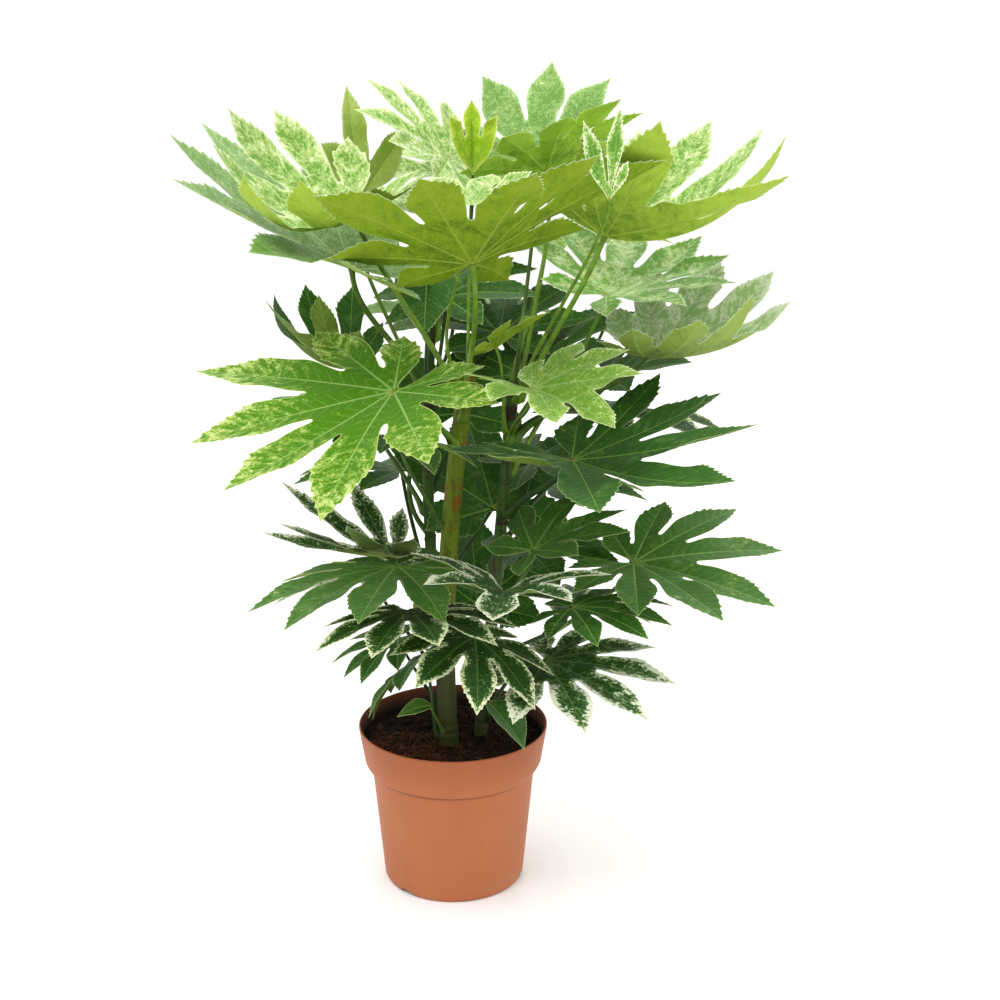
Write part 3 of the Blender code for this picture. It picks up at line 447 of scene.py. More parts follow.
def fine_net(leaf, rng):
    """Flat points of reach 1 and triangles of the toothed blade."""
    outline = np.vstack([toothed(run, rng) for run in outline_runs(leaf)])
    tree = edge_tree(outline)
    step = MESH_STEP / leaf.reach
    rows = np.vstack([vein_rows(leaf, 0.9 * step, tree), [[0.0, 0.0]]])
    across = np.arange(-1.3, 1.3, step)
    down = np.arange(-1.3, 1.3, step * math.sqrt(3) / 2)
    grid = np.array([(x + (k % 2) * step / 2, y) for k, y in enumerate(down) for x in across])
    grid += np.array([[rng.random() - 0.5, rng.random() - 0.5] for _ in grid]) * 0.25 * step
    _, along, aside, radius, _ = lobe_frame(leaf, grid)
    grid = grid[(radius < max(leaf.lengths) + 0.02) & ((np.abs(aside) > 0.75 * step) | (along < 0.3 * step))]
    grid = grid[inside(grid, outline)]
    grid = grid[edge_distance(grid, tree) > 0.55 * step]
    points = [Vector(place) for place in np.vstack([outline, rows, grid])]
    count = len(outline)
    edges = [(i, (i + 1) % count) for i in range(count)]
    verts, _, faces, _, _, _ = geometry.delaunay_2d_cdt(points, edges, [], 1, 1e-7)
    flat, triangles = np.array([tuple(v) for v in verts]), np.array(faces)
    a, b, c = (flat[triangles[:, i]] for i in range(3))
    turned_over = (b[:, 0] - a[:, 0]) * (c[:, 1] - a[:, 1]) < (b[:, 1] - a[:, 1]) * (c[:, 0] - a[:, 0])
    triangles[turned_over] = triangles[turned_over][:, ::-1]
    return flat, triangles, tree


def bend_blade(flat, leaf):
    """Flat points of reach 1 bent into the leaf's own frame: middle lobe along +X, top side up."""
    near, along, aside, radius, bearing = lobe_frame(leaf, flat)
    angles, curls = np.radians(leaf.angles), np.radians(leaf.curls)
    own = smooth_step((radius - leaf.web) / 0.2)
    bend = math.radians(leaf.droop) + np.interp(bearing, angles, curls) * (1 - own) + curls[near] * own
    bend = np.where(np.abs(bend) < 1e-4, 1e-4, bend)
    slope = math.radians(leaf.cup) * np.abs(np.sin(bearing * (1 - own) + angles[near] * own))
    reach = np.where(np.abs(along) > 1e-9, along, 1e-9)
    run = (np.sin(slope) - np.sin(slope - bend * reach)) / bend
    height = (np.cos(slope - bend * reach) - np.cos(slope)) / bend
    free = smooth_step((radius - leaf.web) / 0.25)
    wide = aside * ((run / reach) * (1 - free) + free)
    height = height + FOLD * (np.sqrt(aside * aside + 0.0004) - 0.02) * smooth_step(radius / 0.3)
    forth, side = np.cos(angles[near]), np.sin(angles[near])
    return leaf.reach * np.stack([run * forth - wide * side, run * side + wide * forth, height], axis=1)


def vein_cell(along, aside):
    """Counts the side veins that slant from a lobe's midrib towards its tip."""
    return (along - VEIN_SLANT * np.abs(aside)) / SIDE_VEINS


def leaf_waves(leaf, flat, edge, rng):
    """Heights that ruffle the margins, twist the lobes and bulge the blade between its side veins."""
    near, along, aside, radius, _ = lobe_frame(leaf, flat)
    turns = np.array([[rng.random() * 2 * math.pi for _ in (0, 1)] for _ in leaf.angles])
    twist = np.array([rng.random() - 0.5 for _ in leaf.angles])
    hand = (aside > 0).astype(int)
    out = np.abs(aside) / leaf.width
    free = smooth_step((radius - 0.25) / 0.35)
    ruffle = RUFFLE * np.sin(2 * math.pi * along / RUFFLE_LENGTH + turns[near, hand]) * out * out * free
    lean = LOBE_TWIST * twist[near] * aside * smooth_step((along - 0.35) / 0.65)
    bulge = np.abs(np.sin(math.pi * vein_cell(along, aside))) - 0.6
    quilt = QUILT / leaf.reach * bulge * smooth_step(out / 0.25) * smooth_step(edge / 0.02)
    return (ruffle + lean + quilt) * leaf.reach


def leaf_turn(leaf):
    return (Matrix.Rotation(math.radians(leaf.heading), 3, "Z")
            @ Matrix.Rotation(math.radians(-leaf.rise), 3, "Y")
            @ Matrix.Rotation(math.radians(leaf.roll), 3, "X"))


def stem_at(number, height):
    """Centre and radius of a stem at a height; its route is the cubic through its four places."""
    stem = STEMS[number]
    route = np.array(stem["route"])
    foot, top = route[0, 2], route[-1, 2]
    x, y = (np.polyval(np.polyfit(route[:, 2], route[:, i], 3), height) for i in (0, 1))
    share = min(max((height - foot) / (top - foot), 0), 1)
    return np.array([x, y, height]), stem["thick"] + (stem["thin"] - stem["thick"]) * share


def stalk_start(leaf, foot):
    """The way the stalk leaves the stem: half up, half towards the hub, bent by bow."""
    chord = leaf.hub - foot
    chord /= np.linalg.norm(chord)
    start = np.array([chord[0], chord[1], 1.0]) * 0.7 + np.array(leaf.bow)
    return start / np.linalg.norm(start)


def stalk_path(leaf):
    """From the hub down to the stem and into it, with the radius at each place."""
    centre, radius = stem_at(leaf.stem, leaf.foot)
    away = math.atan2(leaf.hub[1] - centre[1], leaf.hub[0] - centre[0]) + math.radians(leaf.swing)
    out = np.array([math.cos(away), math.sin(away), 0])
    foot = centre + out * (radius + STALK_SPREAD * leaf.stalk)
    start = stalk_start(leaf, foot)
    span = np.linalg.norm(leaf.hub - foot)
    end = (leaf.hub - foot) / span + np.array(leaf_turn(leaf).col[2]) * leaf.lift
    end /= np.linalg.norm(end)
    near_hub, near_foot = leaf.hub - end * span * 0.3, foot + start * span * 0.35
    t = np.linspace(0, 1, STALK_STEPS)[:, None]
    path = ((1 - t) ** 3 * leaf.hub + 3 * (1 - t) ** 2 * t * near_hub + 3 * (1 - t) * t * t * near_foot
            + t ** 3 * foot)
    share = t[:, 0]
    radii = leaf.stalk * (1.0 + (STALK_SPREAD - 1) * share)
    radii *= 1 + 0.55 * np.exp(-share * span / 0.006) + 0.9 * np.exp((share - 1) * span / 0.010)
    seat = foot - out * (STALK_SPREAD * leaf.stalk + 0.6 * radius) - np.array([0, 0, STALK_SEAT])
    return np.vstack([path, [seat]]), np.append(radii, radii[-1] * 0.9)


def skin(rows, sides):
    """Faces of a closed body made of a first point, rows of points round it and a last point."""
    ahead = [(k, (k + 1) % sides) for k in range(sides)]
    top = 1 + (rows - 1) * sides
    faces = [(low + k, low + after, low + sides + after, low + sides + k)
             for low in range(1, top, sides) for k, after in ahead]
    faces += [(0, 1 + after, 1 + k) for k, after in ahead]
    return faces + [(top + k, top + after, top + sides) for k, after in ahead]


def tube(path, radii, sides):
    """Points and faces of a closed tube along a path, without twist."""
    ways = np.gradient(path, axis=0)
    ways /= np.linalg.norm(ways, axis=1)[:, None]
    mark = np.cross(ways[0], [0.3, 0.9, 0.2])
    turns = [2 * math.pi * k / sides for k in range(sides)]
    points = [path[0]]
    for place, way, radius in zip(path, ways, radii):
        mark = mark - way * (mark @ way)
        mark /= np.linalg.norm(mark)
        other = np.cross(way, mark)
        points += [place + (mark * math.cos(turn) + other * math.sin(turn)) * radius for turn in turns]
    return np.array(points + [path[-1]]), skin(len(path), sides)


def counted_on(faces, count):
    """The same faces for points that stand after count others."""
    return [[i + count for i in face] for face in faces]


def point_normals(points, triangles):
    a, b, c = (points[triangles[:, i]] for i in range(3))
    face_normals = np.cross(b - a, c - a)
    normals = np.zeros_like(points)
    for i in range(3):
        np.add.at(normals, triangles[:, i], face_normals)
    return normals / (np.linalg.norm(normals, axis=1)[:, None] + 1e-12)


def rim_edges(triangles):
    """Directed edges that only one triangle has."""
    pairs = np.vstack([triangles[:, [0, 1]], triangles[:, [1, 2]], triangles[:, [2, 0]]])
    known = {tuple(pair) for pair in pairs.tolist()}
    return [pair for pair in known if (pair[1], pair[0]) not in known]


def set_attribute(mesh, name, values):
    layer = mesh.attributes.new(name, "FLOAT_VECTOR", "POINT")
    layer.data.foreach_set("vector", np.asarray(values, np.float32).ravel())


def link(name, data):
    """Puts an object with this data into the scene."""
    made = bpy.data.objects.new(name, data)
    bpy.context.scene.collection.objects.link(made)
    return made


def link_mesh(name, points, faces):
    """A mesh object placed from the pot's axis."""
    mesh = bpy.data.meshes.new(name)
    mesh.from_pydata((np.asarray(points) + POT_AXIS).tolist(), [], faces)
    return link(name, mesh)


def add_piece(name, points, faces, materials, replaced=None):
    """A mesh piece that rides on the body and may stand for a solid."""
    piece = link_mesh(name, points, faces)
    for made in materials:
        piece.data.materials.append(made)
    piece.data.shade_smooth()
    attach(piece, "root")
    if replaced:
        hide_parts(replaced)
    return piece


def make_leaf(leaf, number):
    """Blade and stalk of one leaf as one piece, with its places stored for the materials."""
    rng = random.Random(1000 + number)
    flat, triangles, tree = fine_net(leaf, rng)
    near, along, aside, _, _ = lobe_frame(leaf, flat)
    edge = edge_distance(flat, tree)
    edge[edge < 1e-5] = 0
    bent = bend_blade(flat, leaf)
    bent[:, 2] += leaf_waves(leaf, flat, edge, rng)
    normals = point_normals(bent, triangles)
    to_tip = along / np.array(leaf.lengths)[near]
    rib = np.clip(1 - np.abs(aside) * leaf.reach / (0.5 * VEIN_SPREAD), 0, 1)
    rib *= np.clip(1.15 - to_tip, 0, 1) * (edge > 0)
    thick = BLADE * (0.45 + 0.55 * smooth_step(edge / 0.03))[:, None] / 2
    top = bent + normals * (thick - VEIN_GROOVE * rib[:, None])
    low = bent - normals * (thick + VEIN_RIDGE * rib[:, None])
    blade = np.vstack([top, low]) @ np.array(leaf_turn(leaf)).T + leaf.hub
    stalk, stalk_faces = tube(*stalk_path(leaf), STALK_SIDES)
    count = len(flat)
    rim = [(here, here + count, there + count, there) for here, there in rim_edges(triangles)]
    faces = triangles.tolist() + (triangles[:, ::-1] + count).tolist() + rim
    faces += counted_on(stalk_faces, 2 * count)
    side = [0] * len(triangles) + [1] * len(triangles) + [0] * len(rim) + [2] * len(stalk_faces)
    look = LOOKS[leaf.look]
    materials = [leaf_top(look), leaf_under(look), stalk_material(look)]
    piece = add_piece(f"{leaf.name}_fine", np.vstack([blade, stalk]), faces, materials, leaf.name)
    mesh = piece.data
    mesh.polygons.foreach_set("material_index", side)
    mesh.set_sharp_from_angle(angle=math.radians(50))
    shift = 3.7 * number
    places = np.stack([flat[:, 0] * leaf.reach + shift, flat[:, 1] * leaf.reach, to_tip], axis=1)
    beside, inward = np.abs(aside) * leaf.reach, edge * leaf.reach
    lobe = np.stack([vein_cell(along, aside) + number, beside, inward], axis=1)
    from_hub = np.linalg.norm(stalk - stalk[0], axis=1)
    stalk_places = np.stack([from_hub + shift, np.zeros(len(stalk)), from_hub], axis=1)
    set_attribute(mesh, "flat", np.vstack([places, places, stalk_places]))
    set_attribute(mesh, "lobe", np.vstack([lobe, lobe, stalk_places]))
    return len(mesh.polygons)


class Graph:
    """Short calls that build the node tree of one material."""

    def __init__(self, name, roughness, specular):
        self.material = bpy.data.materials.new(name)
        self.material.use_nodes = True
        self.nodes = self.material.node_tree.nodes
        self.links = self.material.node_tree.links
        self.shader = self.nodes["Principled BSDF"]
        self.put(self.shader, {"Roughness": roughness, "Specular IOR Level": specular})

    def put(self, node, inputs):
        """Links or sets a node's inputs, which are keyed by name or by place."""
        for key, value in inputs.items():
            socket = node.inputs[key]
            if isinstance(value, bpy.types.NodeSocket):
                self.links.new(value, socket)
            elif isinstance(value, tuple) and socket.type == "RGBA":
                socket.default_value = (*value, 1.0)
            else:
                socket.default_value = value

    def node(self, kind, inputs, **settings):
        """A new node with its settings and its inputs, these by name or in their order."""
        made = self.nodes.new(kind)
        for name, value in settings.items():
            setattr(made, name, value)
        self.put(made, inputs if isinstance(inputs, dict) else dict(enumerate(inputs)))
        return made

    def attribute(self, name):
        return self.node("ShaderNodeAttribute", {}, attribute_name=name).outputs["Vector"]

    def own_place(self):
        return self.node("ShaderNodeTexCoord", {}).outputs["Object"]

    def split(self, vector):
        return tuple(self.node("ShaderNodeSeparateXYZ", [vector]).outputs)

    def join(self, x, y, z):
        return self.node("ShaderNodeCombineXYZ", [x, y, z]).outputs[0]

    def math(self, operation, a, b=0.0):
        return self.node("ShaderNodeMath", [a, b], operation=operation).outputs[0]

    def total(self, *terms):
        """Sum of (value, weight) pairs."""
        result = 0.0
        for value, weight in terms:
            result = self.math("ADD", self.math("MULTIPLY", value, weight), result)
        return result

    def noise(self, where, scale, detail=2.0, roughness=0.5, stretch=None):
        """Smooth noise about zero, roughly from -1 to 1."""
        if stretch:
            where = self.node("ShaderNodeMapping", {"Scale": stretch, "Vector": where}).outputs[0]
        inputs = {"Vector": where, "Scale": scale, "Detail": detail, "Roughness": roughness}
        found = self.node("ShaderNodeTexNoise", inputs).outputs["Fac"]
        return self.math("MULTIPLY", self.math("SUBTRACT", found, 0.5), 3.2)

    def cells(self, where, scale):
        """Distance to the nearest border between cells."""
        inputs = {"Vector": where, "Scale": scale}
        return self.node("ShaderNodeTexVoronoi", inputs, feature="DISTANCE_TO_EDGE").outputs["Distance"]

    def ramp(self, value, start, end, low=0.0, high=1.0, kind="SMOOTHSTEP"):
        """Step from low to high while the value goes from start to end."""
        steps = [value, start, end, low, high]
        return self.node("ShaderNodeMapRange", steps, interpolation_type=kind).outputs[0]

    def mix(self, share, first, second):
        """Tones mixed; the node keeps its colour sockets in the seventh and eighth place."""
        return self.node("ShaderNodeMix", {0: share, 6: first, 7: second}, data_type="RGBA").outputs[2]

    def bump(self, height, strength, distance):
        node = self.node("ShaderNodeBump", {"Height": height, "Strength": strength, "Distance": distance})
        self.put(self.shader, {"Normal": node.outputs["Normal"]})

    def colour(self, value):
        self.put(self.shader, {"Base Color": value})

    def glow_through(self, colour, share):
        """Lets part of the light through a thin blade."""
        through = self.node("ShaderNodeBsdfTranslucent", {"Color": colour})
        mixed = self.node("ShaderNodeMixShader", [share, self.shader.outputs[0], through.outputs[0]])
        self.put(self.nodes["Material Output"], {"Surface": mixed.outputs[0]})


# what most looks share
PATTERN = {"pale": 0.15, "margin": 0.3, "width": 0.006, "line": 0.001, "outward": 0.0, "patch": 0.35,
           "blotch": 0.4, "grain": 0.6, "streak": 0.2, "vein": (0.3, 0.46, 0.1), "veins": 0.5,
           "through": 0.15, "fine": 1.0}


class Look:
    """Colours and pattern of a leaf's two sides.

    base, light and cream are the upper side's three tones, under is the lower side's and stalk the stalk's.
    pale moves the whole blade towards light and outward its lobes' outer half. margin moves a band of width
    metres at its edge towards cream, and line is a thin cream edge. patch, blotch, grain and streak say how
    strongly each pattern breaks it up, and fine changes the size of the flecks. vein is the tone and veins
    the strength of the veins, and through the share of the light that comes through.
    """

    def __init__(self, name, base, light, cream, under, stalk, **pattern):
        vars(self).update(PATTERN, **pattern)
        self.name = name
        self.base = base
        self.light = light
        self.cream = cream
        self.under = under
        self.stalk = stalk


WHITE = (0.80, 0.83, 0.64)
DARK = (0.036, 0.126, 0.015)
HUB_TONE = (0.42, 0.26, 0.06)
SUNNY = (0.55, 0.62, 0.14)
DEEPER = (0.34, 0.46, 0.40)
FRESH_STALK = (0.17, 0.31, 0.022)
GREEN_STALK = (0.085, 0.17, 0.020)
DARK_STALK = (0.036, 0.085, 0.012)

LOOKS = {look.name: look for look in (
    Look("muted", (0.14, 0.29, 0.055), (0.28, 0.44, 0.15), (0.6, 0.7, 0.42), (0.36, 0.5, 0.1),
         GREEN_STALK, margin=0.2, line=0.0005, patch=0.25, blotch=0.3, streak=0.15,
         vein=(0.42, 0.58, 0.2), veins=0.75),
    Look("soft", (0.16, 0.32, 0.065), (0.32, 0.5, 0.16), (0.66, 0.78, 0.42), (0.26, 0.38, 0.06),
         GREEN_STALK, line=0.0005, patch=0.3, blotch=0.35, streak=0.15),
    Look("cream", (0.16, 0.34, 0.04), (0.4, 0.57, 0.17), (0.72, 0.8, 0.44), (0.4, 0.57, 0.055),
         FRESH_STALK, pale=0.32, line=0.0014, blotch=0.45, streak=0.5, vein=(0.46, 0.62, 0.22), veins=0.6,
         through=0.18, fine=0.75),
    Look("front", (0.034, 0.1, 0.014), (0.12, 0.23, 0.06), WHITE, (0.225, 0.35, 0.012), FRESH_STALK,
         pale=0.08, margin=0.55, width=0.01, line=0.0014, blotch=0.45, grain=0.85, through=0.16),
    Look("lime", (0.17, 0.37, 0.022), (0.38, 0.58, 0.07), (0.74, 0.82, 0.36), (0.4, 0.56, 0.045),
         FRESH_STALK, pale=0.18, margin=0.35, through=0.3),
    Look("bright", (0.3, 0.52, 0.015), (0.5, 0.66, 0.05), (0.78, 0.82, 0.28), (0.42, 0.58, 0.02),
         FRESH_STALK, pale=0.1, margin=0.25, blotch=0.35, grain=0.5, through=0.3),
    Look("olive", (0.6, 0.74, 0.17), (0.72, 0.83, 0.3), (0.84, 0.88, 0.54), (0.42, 0.58, 0.09),
         FRESH_STALK, grain=0.5, streak=0.3, through=0.4),
    Look("sunlit", (0.2, 0.4, 0.03), (0.42, 0.6, 0.12), (0.76, 0.83, 0.42), (0.6, 0.8, 0.13), FRESH_STALK,
         pale=0.2, streak=0.3, through=0.35),
    Look("silver", (0.38, 0.58, 0.22), (0.7, 0.8, 0.54), (0.84, 0.88, 0.7), (0.33, 0.46, 0.09),
         GREEN_STALK, pale=0.16, margin=0.25, width=0.012, patch=0.45, grain=0.55, streak=0.7,
         vein=(0.62, 0.72, 0.44), veins=0.6, through=0.25),
    Look("white_edged", (0.1, 0.27, 0.025), (0.26, 0.46, 0.08), (0.8, 0.85, 0.56), (0.3, 0.46, 0.04),
         FRESH_STALK, pale=0.0, margin=0.6, width=0.007, line=0.0008, patch=0.4, blotch=0.5, grain=0.7,
         through=0.2),
    Look("whitish", (0.15, 0.36, 0.035), (0.48, 0.65, 0.24), (0.78, 0.86, 0.58), (0.32, 0.46, 0.08),
         FRESH_STALK, pale=0.46, margin=-0.5, width=0.026, line=0.0012, patch=0.45, blotch=0.25,
         grain=0.45, streak=0.3, vein=(0.5, 0.66, 0.26), veins=0.6, through=0.18),
    Look("mottled", (0.075, 0.225, 0.003), (0.21, 0.38, 0.04), (0.54, 0.65, 0.2), (0.22, 0.33, 0.025),
         FRESH_STALK, pale=-0.1, margin=0.12, width=0.02, line=0.0012, outward=0.85, patch=0.3,
         blotch=0.45, grain=0.7, streak=0.75, vein=(0.34, 0.54, 0.14), veins=0.8, fine=0.8),
    Look("fresh", (0.15, 0.32, 0.03), (0.3, 0.47, 0.09), (0.68, 0.77, 0.4), (0.26, 0.38, 0.03),
         FRESH_STALK, pale=0.12, margin=0.32, width=0.012, grain=0.65, streak=0.35,
         vein=(0.42, 0.58, 0.2), veins=0.6),
    Look("green", (0.064, 0.182, 0.024), (0.12, 0.26, 0.045), (0.55, 0.64, 0.28), (0.15, 0.24, 0.03),
         GREEN_STALK, pale=0.0, margin=0.15, line=0.0006, patch=0.45, blotch=0.35, grain=0.5, streak=0.35,
         vein=(0.28, 0.47, 0.11), veins=0.8, through=0.08),
    Look("dark", DARK, (0.09, 0.21, 0.038), (0.42, 0.54, 0.22), (0.105, 0.185, 0.022), DARK_STALK,
         pale=-0.02, margin=0.12, line=0.0006, patch=0.45, blotch=0.35, grain=0.55, streak=0.35,
         vein=(0.24, 0.42, 0.085), veins=0.8, through=0.05),
    Look("speckled", (0.02, 0.066, 0.012), (0.1, 0.2, 0.06), WHITE, (0.15, 0.23, 0.05), DARK_STALK,
         pale=0.02, margin=0.7, width=0.014, line=0.0018, outward=0.3, patch=0.5, blotch=0.65, grain=0.8,
         streak=0.4, vein=(0.16, 0.29, 0.08), veins=0.6, through=0.06, fine=0.6),
    Look("flecked", (0.018, 0.06, 0.01), (0.08, 0.17, 0.04), WHITE, (0.15, 0.23, 0.05), DARK_STALK,
         pale=0.02, margin=0.8, width=0.011, line=0.002, outward=0.15, blotch=0.6, grain=1.05, streak=0.4,
         vein=(0.14, 0.27, 0.06), veins=0.6, through=0.06, fine=0.8),
    Look("edged", (0.016, 0.056, 0.007), (0.07, 0.16, 0.03), (0.76, 0.8, 0.5), (0.15, 0.23, 0.05),
         DARK_STALK, pale=-0.22, margin=0.98, width=0.011, line=0.0013, blotch=0.6, grain=1.05,
         streak=0.35, vein=(0.12, 0.25, 0.05), veins=0.6, through=0.06, fine=0.85),
)}
MADE = {}


def once(make):
    """Keeps a material for each look instead of making it again."""
    def kept(look):
        key = (make.__name__, look.name)
        if key not in MADE:
            MADE[key] = make(look)
        return MADE[key]
    return kept


def blend(first, second, share):
    """A tone between two, with the share of the second in it."""
    return tuple((1 - share) * one + share * other for one, other in zip(first, second))


def dimmed(tone, share):
    return tuple(share * part for part in tone)


ACROSS_VEINS = 45.0
QUILT_CELLS = 150
QUILT_BUMP = (0.35, 0.0016)


def vein_mask(g, cell, aside, share):
    """1 on the midrib and weaker on the slanting side veins."""
    width = g.ramp(share, 0.0, 1.0, 0.0016, 0.0005)
    rib = g.ramp(g.math("DIVIDE", aside, width), 0.5, 1.3, 1.0, 0.0)
    gap = g.math("ABSOLUTE", g.math("SUBTRACT", g.math("FRACT", cell), 0.5))
    side = g.math("MULTIPLY", g.ramp(gap, 0.42, 0.5), g.ramp(aside, 0.0, 0.026, 0.55, 0.10))
    return g.math("MAXIMUM", rib, side)


def leaf_places(g):
    """What both sides read: the flat place, one that runs along the side veins, the veins, the distance to
    the edge and the share of the way to the tip."""
    x, y, share = g.split(g.attribute("flat"))
    cell, aside, edge = g.split(g.attribute("lobe"))
    by_vein = g.join(cell, g.math("MULTIPLY", aside, ACROSS_VEINS), 0.0)
    return g.join(x, y, 0.0), by_vein, vein_mask(g, cell, aside, share), edge, share


@once
def leaf_top(look):
    g = Graph(f"{look.name}_top", 0.55, 0.20)
    places, by_vein, veins, edge, share = leaf_places(g)
    patch, streak = g.noise(places, 32), g.noise(by_vein, 1.7)
    blotch, grain = g.noise(places, 125 * look.fine, 3), g.noise(places, 380 * look.fine, 3, 0.6)
    near_edge = g.math("ADD", edge, g.math("MULTIPLY", blotch, 0.3 * look.width))
    rim = g.ramp(near_edge, 0.0, look.width, 1.0, 0.0)
    level = g.total((patch, look.patch), (blotch, look.blotch), (grain, look.grain), (streak, look.streak),
                    (rim, look.margin), (g.ramp(share, 0.22, 0.72, -0.5, 0.5), look.outward))
    level = g.math("ADD", level, look.pale)
    colour = g.mix(g.ramp(level, 0.0, 0.40), look.base, look.light)
    colour = g.mix(g.ramp(level, 0.50, 0.75), colour, look.cream)
    colour = g.mix(g.math("MULTIPLY", veins, look.veins), colour, look.vein)
    frayed = g.total((edge, 1.0), (grain, 0.25 * look.line))
    colour = g.mix(g.ramp(frayed, 0.5 * look.line, look.line, 0.9, 0.0), colour, look.cream)
    colour = g.mix(g.ramp(share, 0.012, 0.030, 0.7, 0.0), colour, HUB_TONE)
    g.colour(colour)
    quilt = g.total((veins, -0.6), (g.cells(places, QUILT_CELLS), 0.5), (grain, 0.05), (blotch, 0.15))
    g.bump(quilt, *QUILT_BUMP)
    g.glow_through(colour, look.through)
    return g.material


@once
def leaf_under(look):
    g = Graph(f"{look.name}_under", 0.68, 0.15)
    places, by_vein, veins, edge, share = leaf_places(g)
    patch, cloud = g.noise(places, 26), g.noise(by_vein, 1.2)
    blotch, grain = g.noise(places, 90, 3), g.noise(places, 300, 3, 0.6)
    deep = tuple(dim * part for dim, part in zip(DEEPER, look.under))
    bright = blend(look.under, SUNNY, 0.2)
    outer = g.ramp(share, 0.1, 0.8)
    level = g.total((patch, 0.65), (blotch, 0.45), (grain, 0.35), (cloud, 0.35), (outer, 0.7))
    colour = g.mix(g.ramp(level, -0.6, 0.8), deep, look.under)
    colour = g.mix(g.ramp(level, 0.7, 1.6), colour, bright)
    colour = g.mix(g.ramp(g.cells(places, 170), 0.02, 0.14, 0.35, 0.0), colour, bright)
    colour = g.mix(g.ramp(edge, 0.0, 0.0012, 0.9, 0.0), colour, blend(bright, look.cream, 0.3))
    colour = g.mix(g.math("MULTIPLY", veins, 0.6), colour, blend(look.under, SUNNY, 0.4))
    g.colour(colour)
    quilt = g.total((veins, 0.6), (g.cells(places, QUILT_CELLS), -0.5), (blotch, 0.15))
    g.bump(quilt, *QUILT_BUMP)
    g.glow_through(colour, look.through)
    return g.material


@once
def stalk_material(look):
    g = Graph(f"{look.name}_stalk", 0.42, 0.3)
    places = g.attribute("flat")
    patch = g.noise(places, 60, stretch=(0.3, 1.0, 1.0))
    g.colour(g.mix(g.ramp(patch, -0.7, 0.7), dimmed(look.stalk, 0.6), look.stalk))
    g.bump(g.noise(places, 900), 0.08, 0.0006)
    return g.material


def circle(radius, height, sides):
    """Places round the Z axis at a height."""
    turns = [2 * math.pi * k / sides for k in range(sides)]
    return [(radius * math.cos(turn), radius * math.sin(turn), height) for turn in turns]


def turned(profile, sides):
    """Points and faces of a closed body turned about the Z axis; the profile starts and ends on it."""
    points = [(0, 0, profile[0][1])]
    for radius, height in profile[1:-1]:
        points += circle(radius, height, sides)
    return np.array(points + [(0, 0, profile[-1][1])]), skin(len(profile) - 2, sides)


def rounded(profile, size, steps=4):
    """A profile with each inner corner replaced by a short curve no longer than size on each side."""
    places = [np.array(place, float) for place in profile]
    made = [places[0]]
    for before, corner, after in zip(places, places[1:], places[2:]):
        start, end = (corner + way * min(size / np.linalg.norm(way), 0.4)
                      for way in (before - corner, after - corner))
        for t in np.linspace(0, 1, steps + 1):
            made.append((1 - t) ** 2 * start + 2 * (1 - t) * t * corner + t * t * end)
    return made + [places[-1]]


def cut(piece, name, points, faces):
    """Takes a closed body out of a piece for good, then removes the body."""
    cutter = link_mesh(name, points, faces)
    modifier = piece.modifiers.new(name, "BOOLEAN")
    modifier.operation = "DIFFERENCE"
    modifier.solver = "EXACT"
    modifier.object = cutter
    done = bpy.data.meshes.new_from_object(piece.evaluated_get(bpy.context.evaluated_depsgraph_get()))
    piece.modifiers.clear()
    piece.data = done
    bpy.data.objects.remove(cutter)


def rod(start, end, width, height, sides=24):
    """An oval rod from start to end, for cutting holes; width lies level and height across it."""
    way = (end - start) / np.linalg.norm(end - start)
    level = np.cross(way, [0, 0, 1]) if abs(way[2]) < 0.9 else np.array([1.0, 0, 0])
    level /= np.linalg.norm(level)
    other = np.cross(way, level)
    turns = [2 * math.pi * k / sides for k in range(sides)]
    ring = [level * math.cos(turn) * width + other * math.sin(turn) * height for turn in turns]
    points = [start + place for place in ring] + [end + place for place in ring]
    faces = [(k, (k + 1) % sides, sides + (k + 1) % sides, sides + k) for k in range(sides)]
    return points, faces + [tuple(reversed(range(sides))), tuple(range(sides, 2 * sides))]


POT_SIDES = 160
EDGE_ROUNDING = 0.0022
NOTCH_DEPTH = 0.012
DRAIN_DEPTH = 0.006


